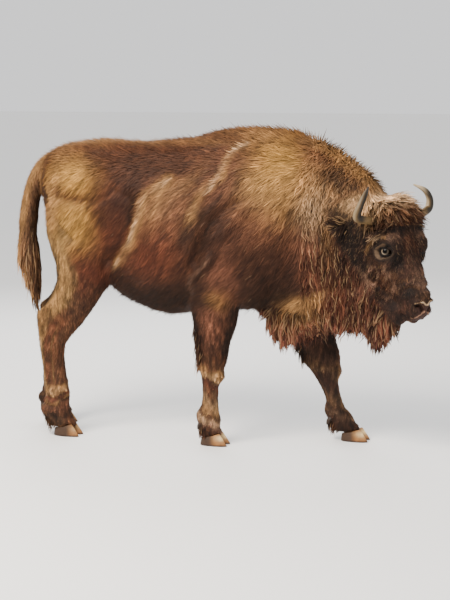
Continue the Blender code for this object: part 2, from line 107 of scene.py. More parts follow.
def tableOf(rows, what, width, kind=float):  # a row of numbers for each point, edge, face or corner
    values = np.empty(len(rows) * width, kind)
    rows.foreach_get(what, values)
    return values.reshape(-1, width)


def pointsOf(mesh, what="co"):
    return tableOf(mesh.vertices, what, 3, np.float32).astype(float)


def movePoints(mesh, points):
    mesh.vertices.foreach_set("co", points.astype(np.float32).ravel())
    mesh.update()


def setColours(mesh, name, values):  # a colour for each point, which the materials read by its name
    if values.shape[1] == 3:
        values = np.concatenate([values, np.ones((len(values), 1))], 1)
    layer = mesh.color_attributes.new(name, "FLOAT_COLOR", "POINT")
    layer.data.foreach_set("color", values.astype(np.float32).ravel())


def smoothFaces(mesh):
    mesh.polygons.foreach_set("use_smooth", np.ones(len(mesh.polygons), bool))


def faceOutward(thing, gap=None):  # turns the faces outward, after merging points closer than the gap
    pick(thing)
    bpy.ops.object.mode_set(mode="EDIT")
    bpy.ops.mesh.select_all(action="SELECT")
    if gap:
        bpy.ops.mesh.remove_doubles(threshold=gap)
    bpy.ops.mesh.normals_make_consistent(inside=False)
    bpy.ops.object.mode_set(mode="OBJECT")


def copyNode(name):  # a copy of a node with a mesh of its own
    made = frame["nodes"][name].copy()
    made.data = made.data.copy()
    made.parent = None
    made.matrix_world = Matrix.Identity(4)
    made.hide_render = False
    bpy.context.scene.collection.objects.link(made)
    return made


def unit(vectors):
    return vectors / np.maximum(np.linalg.norm(vectors, axis=-1, keepdims=True), 1e-9)


def spread(values, edges, times, share=0.5):  # each point drifts towards its neighbours' mean
    a, b = edges.T
    count = len(values)
    degree = np.maximum(np.bincount(a, minlength=count) + np.bincount(b, minlength=count), 1)[:, None]
    for _ in range(times):
        total = np.stack([
            np.bincount(a, values[b, c], count) + np.bincount(b, values[a, c], count)
            for c in range(values.shape[1])
        ], 1)
        values = values + share * (total / degree - values)
    return values


noiseGrid = np.random.default_rng(3).random((32, 32, 32))


def softNoise(points, size, shift=0.0):  # smooth noise from 0 to 1, with lumps of that size in metres
    place = np.asarray(points) / size + shift
    cell = np.floor(place).astype(int)
    part = place - cell
    part = part * part * (3 - 2 * part)
    total = 0.0
    for corner in ((i, j, k) for i in (0, 1) for j in (0, 1) for k in (0, 1)):
        weight = np.prod(np.where(np.array(corner), part, 1 - part), axis=1)
        at = (cell + corner) % 32
        total = total + weight * noiseGrid[at[:, 0], at[:, 1], at[:, 2]]
    return total


def fade(value, low, high):  # 0 below low, 1 above high
    part = np.clip((value - low) / (high - low), 0, 1)
    return part * part * (3 - 2 * part)


def lineDistance(points, line):
    nearest = np.full(len(points), 9.0)
    line = np.array(line, float)
    for start, end in zip(line, line[1:]):
        run = end - start
        part = np.clip((points - start) @ run / (run @ run), 0, 1)
        nearest = np.minimum(nearest, np.linalg.norm(points - start - part[:, None] * run, axis=1))
    return nearest


def smoothLine(rows, steps):  # a curve through the rows
    rows = [np.array(row, float) for row in rows]
    ends = [rows[0], *rows, rows[-1]]
    made = []
    for a, b, c, d in zip(ends, ends[1:], ends[2:], ends[3:]):
        for step in range(steps):
            t = step / steps
            square, cube = 2 * a - 5 * b + 4 * c - d, 3 * b - a - 3 * c + d
            made.append(0.5 * (2 * b + (c - a) * t + square * t * t + cube * t ** 3))
    return np.array([*made, rows[-1]])


# where the head is: X runs down the face, +Y is its left side and Z stands out of the forehead
headPose = {
    "turn": -38, "down": 60, "roll": 1.5,  # degrees
    "eyeDrop": 0.008,  # the eyes lie this far in from the head's origin
    "toMiddle": 0.25,  # from the head's origin to the trunk's middle on Y
}
eyeMiddles = [(np.array(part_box(name)[0]) + np.array(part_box(name)[1])) / 2 for name in ("eye_left", "eye_right")]
headTurn = np.array((
    Matrix.Rotation(math.radians(headPose["turn"]), 3, "Z")
    @ Matrix.Rotation(math.radians(headPose["down"]), 3, "Y")
    @ Matrix.Rotation(math.radians(headPose["roll"]), 3, "Z")
))
headOrigin = (eyeMiddles[0] + eyeMiddles[1]) / 2 + headTurn @ np.array((0, 0, headPose["eyeDrop"]))
eyeSpan = np.linalg.norm(eyeMiddles[0] - eyeMiddles[1]) / 2
middleLine = headOrigin[1] + headPose["toMiddle"]


def toHead(points):
    return (np.asarray(points) - headOrigin) @ headTurn


def fromHead(points):
    return np.asarray(points) @ headTurn.T + headOrigin


def onLeft(head):  # the right side of the head laid over its left
    return np.abs(head) * (0, 1, 0) + head * (1, 0, 1)


# skin
skinSettings = {
    "grain": 0.0115,  # of the joined surface, before the head is refined
    "roundings": 26,
    "weld": 0.00001, "swell": 0.0014,  # to merge the points of the cuts and to close the gaps between the pieces
    # painted shade: the skin's tint is the coat's colour darkened, as the skin lies in the coat's shade
    "shade": 0.6,  # the skin is darker than the hair over it
}
legNames = ("foreleg_left", "foreleg_right", "hindleg_left", "hindleg_right")
regionOf = {
    "trunk": "trunk", "neck": "neck", "chest_mane": "chest", "beard": "beard", "head": "head",
    "foreleg_left": "fore", "foreleg_right": "fore", "hindleg_left": "hind", "hindleg_right": "hind",
    "tail_dock": "dock", "tail_tuft": "tuft", "ear_left": "ear", "ear_right": "ear",
}
regions = ("trunk", "neck", "chest", "beard", "head", "fore", "hind", "dock", "tuft", "ear")


def joinedFlesh():
    deselectAll()
    for name in regionOf:
        part = copyNode(name)
        part.select_set(True)
        bpy.context.view_layer.objects.active = part
    bpy.ops.object.join()
    skin = bpy.context.view_layer.objects.active
    skin.name = "skin"
    skin.data.materials.clear()
    bpy.ops.object.mode_set(mode="EDIT")
    bpy.ops.mesh.select_all(action="SELECT")
    bpy.ops.mesh.remove_doubles(threshold=skinSettings["weld"])
    bpy.ops.object.mode_set(mode="OBJECT")
    useModifier(skin, "DISPLACE", {"strength": skinSettings["swell"], "mid_level": 0.0})
    useModifier(skin, "REMESH", {"mode": "VOXEL", "voxel_size": skinSettings["grain"]})
    top = int(np.argmax(pointsOf(skin.data)[:, 2]))
    bpy.ops.object.mode_set(mode="EDIT")
    bpy.ops.mesh.select_mode(type="VERT")
    bpy.ops.mesh.select_all(action="DESELECT")
    bpy.ops.object.mode_set(mode="OBJECT")
    skin.data.vertices[top].select = True
    bpy.ops.object.mode_set(mode="EDIT")
    bpy.ops.mesh.select_linked()
    bpy.ops.mesh.select_all(action="INVERT")
    bpy.ops.mesh.delete(type="VERT")  # specks left inside where pieces meet
    bpy.ops.object.mode_set(mode="OBJECT")
    return skin


def refine(skin, test):  # halves the faces whose middles pass the test
    pick(skin)
    mesh = skin.data
    chosen = test(toHead(tableOf(mesh.polygons, "center", 3)))
    bpy.ops.object.mode_set(mode="EDIT")
    bpy.ops.mesh.select_mode(type="FACE")
    bpy.ops.mesh.select_all(action="DESELECT")
    bpy.ops.object.mode_set(mode="OBJECT")
    mesh.polygons.foreach_set("select", chosen)
    bpy.ops.object.mode_set(mode="EDIT")
    bpy.ops.mesh.subdivide(number_cuts=1)
    bpy.ops.object.mode_set(mode="OBJECT")


skin = joinedFlesh()
refine(skin, lambda p: (p[:, 0] > -0.15) & (p[:, 0] < 0.42) & (np.abs(p[:, 1]) < 0.21) & (p[:, 2] > -0.16))
refine(skin, lambda p: (
    ((np.hypot(p[:, 0], p[:, 2] + 0.006) < 0.075) & (np.abs(p[:, 1]) > 0.07)
     & (np.abs(p[:, 1]) < 0.2) & (p[:, 2] > -0.1))
    | ((p[:, 0] > 0.27) & (p[:, 0] < 0.42) & (p[:, 2] > -0.16) & (np.abs(p[:, 1]) < 0.1))
))
print("skin joined:", len(skin.data.vertices), "points")

edges = tableOf(skin.data.edges, "vertices", 2, int)
points = pointsOf(skin.data)
for _ in range(skinSettings["roundings"]):  # a pass in and a pass out, so that it rounds but doesn't shrink
    points = spread(points, edges, 1, 0.5)
    points = spread(points, edges, 1, -0.52)

# the share that each region has of each point, soft where regions meet
fleshPoints, fleshFaces, fleshOwner = [], [], []
for name, region in regionOf.items():
    mesh = frame["nodes"][name].data
    base = len(fleshPoints)
    fleshPoints.extend(vertex.co.copy() for vertex in mesh.vertices)
    for face in mesh.polygons:
        fleshFaces.append([base + i for i in face.vertices])
        fleshOwner.append(regions.index(region))
fleshTree = BVHTree.FromPolygons(fleshPoints, fleshFaces)
for _ in range(2):  # and back out to the frame's surface where rounding took too much
    shortfall = np.array([fleshTree.find_nearest(Vector(p))[0] for p in points]) - points
    points = points + spread(shortfall, edges, 7)
movePoints(skin.data, points)
owner = np.array([fleshOwner[fleshTree.find_nearest(Vector(p))[2]] for p in points])
shares = spread(np.eye(len(regions))[owner], edges, 14)


def share(values, name):
    return values[:, regions.index(name)]


def mixed(values, table):  # a number for each point from one number for each region
    return values @ np.array([table[name] for name in regions])


# how deep the skin lies under the coat's tips, in metres
coatDepth = {
    "trunk": 0.008, "neck": 0.018, "chest": 0.032, "beard": 0.036, "head": 0.004,
    "fore": 0.002, "hind": 0.002, "dock": 0.003, "tuft": 0.012, "ear": 0.002,
}


def mopShare(head):  # the long hair on the poll and forehead
    return fade(-head[:, 0], 0.09, 0.15) * fade(head[:, 2], -0.06, 0.02)


def shoulderShare(p):
    return fade(p[:, 0], -0.05, 0.35) * fade(p[:, 2], 0.9, 1.2)


head = toHead(points)
depth = mixed(shares, coatDepth)
depth += share(shares, "head") * mopShare(head) * 0.022
depth += share(shares, "trunk") * shoulderShare(points) * 0.008
hornRoot = ((-0.15, 0.08, 0.033), (-0.158, 0.145, 0.044))
nearHorn = np.exp(-(lineDistance(onLeft(head), hornRoot) / 0.075) ** 2)
depth *= 1 - 0.7 * nearHorn * share(shares, "head")
normals = unit(spread(pointsOf(skin.data, "normal"), edges, 6))
points = points - normals * depth[:, None]
points = spread(points, edges, 2)

# forms of the body: a line, how far it reaches, and how high it stands (below nought it is a crease)
bodyForms = (
    (((-1.0, -0.105, 1.4), (-0.932, -0.19, 1.283), (-0.861, -0.219, 1.215), (-0.79, -0.227, 1.161)), 0.022, -0.016),
    (((-0.917, -0.18, 1.396), (-0.803, -0.209, 1.377), (-0.648, -0.212, 1.372), (-0.551, -0.198, 1.437)), 0.03, -0.01),
    (((-0.84, -0.165, 1.5), (-0.7, -0.175, 1.5)), 0.085, 0.012),
    (((-0.8, -0.22, 1.28), (-0.8, -0.22, 1.1)), 0.075, 0.01),
    (((-0.221, -0.181, 1.505), (-0.28, -0.204, 1.458), (-0.375, -0.22, 1.394), (-0.401, -0.245, 1.269),
      (-0.456, -0.234, 1.139), (-0.543, -0.183, 1.035), (-0.57, -0.158, 0.97)), 0.026, 0.017),
    (((-0.47, -0.218, 1.4), (-0.478, -0.233, 1.266), (-0.521, -0.222, 1.15), (-0.59, -0.182, 1.04)), 0.04, -0.022),
    (((0.202, -0.056, 1.701), (0.13, -0.091, 1.655), (0.092, -0.131, 1.602), (0.057, -0.18, 1.51),
      (-0.046, -0.216, 1.416)), 0.022, 0.01),
    (((0.152, -0.227, 1.39), (0.028, -0.246, 1.28), (-0.034, -0.258, 1.154), (-0.069, -0.252, 1.058)), 0.032, -0.024),
    (((0.2, -0.23, 1.34), (0.09, -0.25, 1.22), (0.03, -0.25, 1.1)), 0.04, 0.012),
    (((0.028, -0.247, 1.092), (-0.041, -0.236, 1.009), (-0.093, -0.227, 0.959), (-0.083, -0.209, 0.893)), 0.02, 0.015),
    (((-0.02, -0.193, 1.478), (-0.054, -0.247, 1.309), (-0.08, -0.259, 1.185), (-0.132, -0.26, 1.056)), 0.022, 0.007),
    (((-0.12, -0.2, 1.46), (-0.17, -0.25, 1.3), (-0.2, -0.26, 1.12)), 0.022, 0.006),
    (((0.33, -0.15, 1.58), (0.36, -0.19, 1.4)), 0.09, 0.01),
    (((0.127, -0.251, 1.064), (0.088, -0.23, 0.934), (0.054, -0.225, 0.805)), 0.045, 0.008),
)
mirrored = points.copy()
mirrored[:, 1] = 2 * middleLine - mirrored[:, 1]
lift = np.zeros(len(points))
onTrunk = 1 - np.clip(
    share(shares, "head") + share(shares, "neck") * 0.5 + share(shares, "dock") + share(shares, "tuft"), 0, 1,
)
for line, reach, height in bodyForms:
    line = smoothLine(line, 4)
    lift += height * np.exp(-(lineDistance(points, line) / reach) ** 2)
    lift += height * np.exp(-(lineDistance(mirrored, line) / reach) ** 2)
# forms of the legs: which leg, height, reach up and down, the way that it faces (forward, out), how high it stands
legForms = (
    ("fore", 0.5, 0.06, (1.0, 0.0), 0.01), ("fore", 0.408, 0.03, (1.0, 0.3), 0.015),
    ("fore", 0.345, 0.022, (1.0, 0.0), -0.005), ("fore", 0.43, 0.03, (-1.0, 0.0), 0.006),
    ("fore", 0.155, 0.04, (-1.0, 0.0), 0.016), ("fore", 0.165, 0.025, (1.0, 0.0), 0.006),
    ("fore", 0.118, 0.01, (1.0, 0.6), -0.004), ("fore", 0.092, 0.014, (1.0, 0.6), 0.005),
    ("hind", 0.262, 0.017, (0.3, 1.0), 0.009), ("hind", 0.258, 0.02, (-1.0, 0.0), 0.002),
    ("hind", 0.222, 0.01, (-0.3, 1.0), -0.008), ("hind", 0.196, 0.01, (-1.0, 0.6), 0.004),
    ("hind", 0.175, 0.008, (-1.0, 0.6), -0.005), ("hind", 0.14, 0.034, (-1.0, 0.1), 0.024),
    ("hind", 0.118, 0.01, (1.0, 0.6), -0.004), ("hind", 0.092, 0.014, (1.0, 0.6), 0.005),
)
outward = normals[:, 1] * np.sign(points[:, 1] - middleLine)
legLift = np.zeros(len(points))
for leg, middle, reach, way, height in legForms:
    slant = points[:, 2] + 0.25 * normals[:, 0] * 0.06
    faces = fade(np.stack([normals[:, 0], outward], 1) @ unit(np.array(way)), -0.1, 0.8)
    legLift += share(shares, leg) * height * faces * np.exp(-((slant - middle) / reach) ** 2)
shank = share(shares, "hind") * fade(points[:, 2], 0.27, 0.34) * fade(0.75 - points[:, 2], 0, 0.1)
shank = shank * fade(outward, 0.0, 0.5)
tendon = np.exp(-((normals[:, 0] + 0.5) / 0.22) ** 2)
groove = np.exp(-((normals[:, 0] + 0.08) / 0.16) ** 2)
legLift += shank * (0.006 * tendon - 0.008 * groove)
points = points + normals * (lift * onTrunk + legLift)[:, None]
movePoints(skin.data, points)

# forms of the face, in the head's frame on the bull's left, and the same on the right
faceForms = (
    (((-0.09, 0.13, 0.0), (-0.074, 0.108, 0.05), (-0.03, 0.08, 0.07), (0.01, 0.078, 0.06)), 0.024, 0.017),  # brow
    (((-0.015, 0.112, 0.05), (0.045, 0.106, 0.04)), 0.034, 0.017),  # front of the orbit
    (((-0.045, 0.14, -0.05), (0.0, 0.145, -0.06), (0.045, 0.122, -0.035)), 0.018, 0.008),  # below the eye
    (((0.05, 0.105, 0.05), (0.085, 0.085, 0.04)), 0.02, -0.007),  # hollow before the eye
    (((0.02, 0.142, -0.085), (0.085, 0.112, -0.045), (0.18, 0.088, -0.035)), 0.016, 0.007),  # cheekbone
    (((0.04, 0.14, -0.125), (0.13, 0.105, -0.085), (0.2, 0.088, -0.08)), 0.02, -0.006),
    (((0.0, 0.0, 0.085), (0.24, 0.0, 0.055)), 0.03, 0.004),  # bridge of the nose
    (((0.356, 0.022, 0.002), (0.344, 0.029, 0.011), (0.333, 0.041, 0.013), (0.328, 0.054, 0.005)), 0.0105, -0.026),
    (((0.34, 0.008, 0.034), (0.32, 0.022, 0.041), (0.311, 0.042, 0.031), (0.313, 0.058, 0.01)), 0.009, 0.009),
    (((0.364, 0.032, -0.01), (0.352, 0.052, -0.014), (0.356, 0.05, -0.04)), 0.01, 0.007),  # below the nostril
    (((0.38, 0.0, -0.086), (0.374, 0.03, -0.088), (0.352, 0.052, -0.098), (0.318, 0.062, -0.108),
      (0.286, 0.066, -0.112)), 0.0055, -0.01),  # mouth
    (((0.372, 0.03, -0.07), (0.345, 0.055, -0.078), (0.3, 0.066, -0.088)), 0.009, 0.004),  # upper lip
    (((0.372, 0.0, -0.104), (0.35, 0.042, -0.114), (0.31, 0.056, -0.126)), 0.011, 0.007),  # lower lip
    (((0.215, 0.086, -0.041), (0.224, 0.066, 0.019), (0.248, 0.034, 0.044), (0.256, 0.0, 0.05)), 0.009, -0.009),
    (((0.196, 0.088, -0.041), (0.203, 0.07, 0.022), (0.222, 0.036, 0.05), (0.228, 0.0, 0.056)), 0.01, 0.007),
    (((0.25, 0.08, -0.045), (0.262, 0.06, 0.01), (0.278, 0.03, 0.036)), 0.012, 0.005),
    (((0.18, 0.06, 0.034), (0.176, 0.035, 0.052)), 0.008, -0.004),
    (((0.362, 0.0, 0.02), (0.378, 0.0, -0.02), (0.384, 0.0, -0.07)), 0.004, -0.004),  # cleft of the nose
    (((0.02, 0.13, -0.13), (0.09, 0.11, -0.12)), 0.055, 0.006),  # cheek
    (((0.362, 0.0, -0.01), (0.366, 0.0, -0.06)), 0.03, 0.007),  # nose pad
    (((0.3, 0.0, -0.13), (0.34, 0.0, -0.12)), 0.035, 0.01),  # chin
)
head = toHead(points)
folded = onLeft(head)
normals = unit(spread(pointsOf(skin.data, "normal"), edges, 2))
lift = np.zeros(len(points))
for line, reach, height in faceForms:
    lift += height * np.exp(-(lineDistance(folded, smoothLine(line, 4)) / reach) ** 2)
points = points + normals * (lift * share(shares, "head"))[:, None]
movePoints(skin.data, points)
print("skin shaped")

# eyes and lids
eyeSettings = {
    "radius": 0.033,
    "gaze": (0.05, 0.88, 0.47), "corner": (0.47, -0.22, 0.85),  # left side of the head's frame
    "halfLength": 62, "up": 20, "down": 34,  # of the opening, in degrees seen from the eye's middle
    "upperStretch": 0.45, "rearStretch": 0.5, "cornerStretch": 0.3,  # the folds reach furthest above and behind
    "socketDepth": 0.022, "socketReach": 0.027, "behindBall": 0.007,  # how the skin sinks under the lids
    "bulge": 0.045, "bulgeReach": 0.85,  # of the cornea, in parts of the radius and in radians from the gaze
    "colours": (  # angle from the gaze in radians, colour: pupil, iris, its rim and the dark white of the eye
        (0.0, "#030202"), (0.29, "#040302"), (0.34, "#2a231c"), (0.5, "#7a6c5a"), (0.7, "#54493c"), (0.8, "#0a0604"),
        (0.95, "#2a1c13"),
    ),
}
lidRows = (  # distance from the opening's edge, height, how far it already follows the face
    (-0.0006, -0.0035, 0.0), (-0.0006, 0.0022, 0.0), (0.001, 0.0036, 0.0), (0.004, 0.0044, 0.0),
    (0.007, 0.0038, 0.0), (0.0095, 0.001, 0.1), (0.012, 0.0034, 0.3), (0.0155, 0.0056, 0.55),
    (0.019, 0.005, 0.75), (0.022, 0.0012, 0.9),
    (0.025, 0.0026, 1.0), (0.029, 0.0018, 1.0), (0.033, -0.001, 1.0), (0.036, -0.006, 1.0),
)


def eyeFrame(side):  # middle, gaze, towards the front corner, towards the upper lid
    flip = np.array((1, side, 1))
    gaze = unit(np.array(eyeSettings["gaze"])) * flip
    corner = np.array(eyeSettings["corner"]) * flip
    corner = unit(corner - gaze * (corner @ gaze))
    up = unit(np.cross(gaze, corner))
    if up[0] > 0:
        up = -up
    middle = np.array((0.0, eyeSpan * side, -headPose["eyeDrop"]))
    return fromHead(middle), headTurn @ gaze, headTurn @ corner, headTurn @ up


def openingAt(angle):  # half the opening in radians, towards an angle round the gaze: 0 is the front corner
    s = eyeSettings
    along, across = np.cos(angle), np.sin(angle)
    tall = np.radians(np.where(across > 0, s["up"], s["down"]))
    wide = math.radians(s["halfLength"])
    pointed = 1 + np.where(along > 0, 0.22, 0.08) * along ** 8
    return pointed / np.sqrt((along / wide) ** 2 + (across / tall) ** 2)


def stretchAt(angle):
    behind = fade(-np.cos(angle), 0.2, 1.0) * fade(0.7 - np.sin(angle), 0.0, 0.5)
    lowRear = fade(2 * np.cos(angle) * np.sin(angle), 0.2, 1.0) * (np.cos(angle) < 0)
    return 1 + (
        eyeSettings["upperStretch"] * fade(np.sin(angle), -0.2, 0.6) + eyeSettings["rearStretch"] * behind
        + eyeSettings["cornerStretch"] * lowRear
    )


def eyeReach(side, places):  # distance outside the opening's edge, height along the gaze, angle round it
    middle, gaze, corner, up = eyeFrame(side)
    away = places - middle
    height = away @ gaze
    angle = np.arctan2(away @ up, away @ corner)
    across = np.linalg.norm(away - gaze * height[:, None], axis=1)
    return (across - eyeSettings["radius"] * np.sin(openingAt(angle))) / stretchAt(angle), height, angle


def pressSocket(side):  # the skin behind the eye and the lids sinks out of sight
    e = eyeSettings
    middle, gaze, corner, up = eyeFrame(side)
    near = np.where(np.linalg.norm(points - middle, axis=1) < 0.1)[0]
    beyond, height, angle = eyeReach(side, points[near])
    lower = height - e["socketDepth"] * fade(e["socketReach"] - beyond, 0, 0.01)
    inside = e["radius"] * np.cos(openingAt(angle)) - e["behindBall"]
    lower = np.where(beyond < 0.004, np.minimum(lower, inside), lower)
    lower = np.where(height > -0.02, lower, height)
    points[near] += gaze * (lower - height)[:, None]


def makeLids(side, name, face):
    middle, gaze, corner, up = eyeFrame(side)
    steps = 96
    radius = eyeSettings["radius"]
    bpy.ops.mesh.primitive_grid_add(x_subdivisions=steps, y_subdivisions=len(lidRows) - 1, size=1.0)
    lids = bpy.context.object
    lids.name = name
    flat = pointsOf(lids.data)
    placed = np.empty_like(flat)
    levels = np.rint((flat[:, 1] + 0.5) * (len(lidRows) - 1)).astype(int)
    for i, (x, level) in enumerate(zip(flat[:, 0], levels)):
        angle = 2 * math.pi * (x + 0.5) * side
        beyond, height, follow = lidRows[level]
        stretch, opening = stretchAt(angle), openingAt(angle)
        if beyond > 0:
            beyond *= stretch
        way = corner * math.cos(angle) + up * math.sin(angle)
        off = min(opening + beyond / radius, 1.75)
        onBall = (gaze * math.cos(off) + way * math.sin(off)) * (radius + height)
        start = middle + way * (radius * math.sin(opening) + beyond) + gaze * 0.12
        hit = face.ray_cast(Vector(start), Vector(-gaze), 0.2)[0]
        onFace = (np.array(hit) - middle if hit else onBall) + gaze * height * stretch
        placed[i] = middle + onBall * (1 - follow) + onFace * follow
    movePoints(lids.data, placed)
    faceOutward(lids, gap=0.00002)
    facing = sum((Vector(polygon.normal).dot(Vector(gaze)) for polygon in lids.data.polygons))
    if facing < 0:
        bpy.ops.object.mode_set(mode="EDIT")
        bpy.ops.mesh.flip_normals()
        bpy.ops.object.mode_set(mode="OBJECT")
    return lids


wholeFace = BVHTree.FromPolygons([Vector(p) for p in points], [list(f.vertices) for f in skin.data.polygons])
for side in (1, -1):
    pressSocket(side)
movePoints(skin.data, points)
lids = [makeLids(1, "lidsLeft", wholeFace), makeLids(-1, "lidsRight", wholeFace)]
print("lids made")


# colours of the coat: the same for the skin and for every tuft
fur = {
    "brown": linear("#472918"), "redBrown": linear("#5f3a29"), "rust": linear("#54291a"), "dark": linear("#21130b"),
    "black": linear("#120b07"), "tan": linear("#966e42"), "golden": linear("#a27738"), "olive": linear("#7a5f39"),
    "pale": linear("#b8936a"), "ash": linear("#513723"), "mane": linear("#5b3626"), "face": linear("#26160f"),
    "fringe": linear("#80493c"), "cream": linear("#cdaa85"), "curl": linear("#6b4f3e"),
}
# soft spots on the side of the body: middle X and Z, reach in X and Z, lean in degrees, colour, amount. They are partly
# the coat's own colours and partly painted light: the golden and tan spots on the shoulder, hip mound and thigh and the
# tan band along the top of the back are painted highlights, and the dark spots low on the belly, shoulder and elbow are
# painted shade over the darker hair there
bodySpots = (
    (-0.3, 1.62, 0.5, 0.1, 0, "brown", 0.6),
    (-0.95, 1.65, 0.2, 0.04, 20, "tan", 0.5),
    (-0.83, 1.6, 0.13, 0.05, 18, "brown", 0.85),
    (-0.13, 1.48, 0.12, 0.035, -41, "tan", 0.5),
    (-0.3, 1.5, 0.05, 0.04, 0, "dark", 0.5),
    (-0.6, 1.69, 0.6, 0.025, 0, "tan", 0.5),
    (0.1, 1.76, 0.4, 0.04, 4, "tan", 0.2),
    (-0.45, 1.47, 0.16, 0.16, 0, "dark", 0.45),
    (-0.82, 1.5, 0.14, 0.08, 0, "golden", 0.85),
    (-0.79, 1.26, 0.14, 0.15, -10, "golden", 0.85),
    (-0.93, 1.36, 0.05, 0.2, 10, "tan", 0.8),
    (-0.88, 1.06, 0.06, 0.17, 12, "olive", 0.9),
    (-0.575, 1.24, 0.085, 0.2, 0, "rust", 0.7),
    (-0.56, 1.34, 0.07, 0.12, 20, "dark", 0.65),
    (-0.7, 0.93, 0.1, 0.15, -20, "rust", 0.8),
    (-0.24, 1.35, 0.14, 0.15, 20, "redBrown", 0.7),
    (-0.28, 1.36, 0.07, 0.15, 25, "tan", 0.35),
    (-0.1, 1.24, 0.04, 0.17, 14, "dark", 0.75),
    (-0.34, 1.08, 0.17, 0.17, 0, "rust", 0.6),
    (-0.1, 1.42, 0.1, 0.18, 20, "tan", 0.12),
    (-0.18, 1.6, 0.16, 0.09, 15, "brown", 0.9),
    (-0.2, 1.57, 0.1, 0.05, 15, "dark", 0.35),
    (0.3, 1.69, 0.12, 0.05, 0, "brown", 0.35),
    (-0.28, 0.84, 0.45, 0.12, 0, "dark", 0.85),
    (0.1, 1.5, 0.13, 0.12, 20, "redBrown", 0.7),
    (0.37, 1.53, 0.13, 0.15, 0, "golden", 1.0),
    (0.19, 1.49, 0.028, 0.1, 20, "dark", 0.5),
    (0.34, 1.42, 0.16, 0.14, 10, "tan", 0.75),
    (0.24, 1.28, 0.18, 0.12, 20, "redBrown", 0.6),
    (0.04, 1.14, 0.09, 0.24, 10, "dark", 0.75),
    (0.3, 1.0, 0.26, 0.2, 0, "dark", 0.65),
    (0.1, 0.96, 0.07, 0.16, 0, "redBrown", 0.8),
    (0.42, 0.82, 0.18, 0.1, 0, "dark", 0.6),
    (0.58, 1.42, 0.1, 0.12, 0, "tan", 0.6),
    (0.6, 1.35, 0.07, 0.105, 0, "cream", 0.8), (0.49, 0.8, 0.11, 0.06, 0, "tan", 0.65),
    (-0.894, 0.72, 0.05, 0.09, 0, "brown", 0.7), (0.25, 1.6, 0.07, 0.05, 0, "redBrown", 0.35),
    (0.264, 1.735, 0.09, 0.04, 0, "tan", 0.35), (0.063, 0.84, 0.05, 0.06, 0, "golden", 0.2),
    (0.62, 1.18, 0.12, 0.17, 0, "redBrown", 0.8),
    (0.665, 1.27, 0.035, 0.13, 0, "tan", 0.55),
    (0.59, 0.8, 0.05, 0.1, 0, "dark", 0.6),
    (0.565, 1.285, 0.17, 0.045, 36, "dark", 0.55),
    (0.53, 0.862, 0.17, 0.024, -33, "tan", 0.6),
    (0.7, 1.08, 0.08, 0.14, 0, "dark", 0.6),
)
# soft strokes on the body: line, reach, colour, amount. Most are painted light: tan, cream and curl strokes along the
# ridges of the shoulder, flank and elbow are painted highlights, and dark, black and brown strokes in the creases and
# along the rear edges of the rump and thigh are painted shade
paintedLightStrokes = (
    (((0.202, -0.056, 1.701), (0.13, -0.091, 1.655), (0.092, -0.131, 1.602), (0.057, -0.18, 1.51)), 0.022, "tan", 0.6),
    (((0.202, -0.056, 1.701), (0.13, -0.091, 1.655), (0.082, -0.131, 1.59), (0.04, -0.18, 1.51),
      (0.0, -0.216, 1.44)), 0.009, "cream", 0.6),
    (((0.06, -0.225, 1.4), (0.0, -0.24, 1.33), (-0.04, -0.25, 1.26)), 0.012, "black", 0.6),
    (((-0.02, -0.24, 1.27), (-0.04, -0.25, 1.2), (-0.085, -0.255, 1.12)), 0.007, "curl", 0.6),
    (((0.057, -0.18, 1.51), (-0.046, -0.216, 1.416), (-0.08, -0.24, 1.3)), 0.026, "tan", 0.45),
    (((-0.221, -0.181, 1.505), (-0.29, -0.204, 1.44), (-0.365, -0.22, 1.394), (-0.391, -0.245, 1.269),
      (-0.446, -0.234, 1.139), (-0.543, -0.183, 1.035)), 0.03, "tan", 0.75),
    (((-0.221, -0.181, 1.505), (-0.3, -0.204, 1.435), (-0.385, -0.225, 1.38), (-0.405, -0.245, 1.269),
      (-0.46, -0.234, 1.139), (-0.56, -0.175, 1.01)), 0.011, "cream", 0.42),
    (((-0.995, -0.07, 1.45), (-0.97, -0.1, 1.34), (-0.953, -0.12, 1.21), (-0.927, -0.13, 1.04), (-0.9, -0.13, 0.92),
      (-0.93, -0.12, 0.81), (-1.01, -0.1, 0.74)), 0.03, "dark", 0.9),
    (((-0.16, -0.2, 1.52), (-0.25, -0.22, 1.43), (-0.32, -0.24, 1.3)), 0.018, "tan", 0.45),
    (((-0.455, -0.218, 1.4), (-0.473, -0.233, 1.266), (-0.521, -0.222, 1.15), (-0.6, -0.182, 1.03)),
     0.037, "dark", 0.95),
    (((-1.0, -0.105, 1.4), (-0.932, -0.19, 1.283), (-0.861, -0.219, 1.215), (-0.79, -0.227, 1.161)),
     0.014, "dark", 0.8),
    (((-0.9, -0.18, 1.42), (-0.803, -0.209, 1.385), (-0.648, -0.212, 1.376), (-0.551, -0.198, 1.437)),
     0.03, "brown", 0.8),
    (((0.152, -0.227, 1.39), (0.028, -0.246, 1.28), (-0.034, -0.258, 1.154), (-0.069, -0.252, 1.058)),
     0.03, "dark", 0.8),
    (((0.028, -0.247, 1.092), (-0.041, -0.236, 1.009), (-0.093, -0.227, 0.959), (-0.083, -0.209, 0.893)),
     0.014, "curl", 0.5),
    (((-0.57, -0.158, 1.01), (-0.45, -0.16, 0.9), (-0.35, -0.12, 0.8)), 0.03, "dark", 0.5),
    (((-1.07, 0.0, 1.55), (-1.06, -0.05, 1.44), (-1.02, -0.1, 1.2), (-0.98, -0.12, 1.05)), 0.045, "dark", 0.95),
)
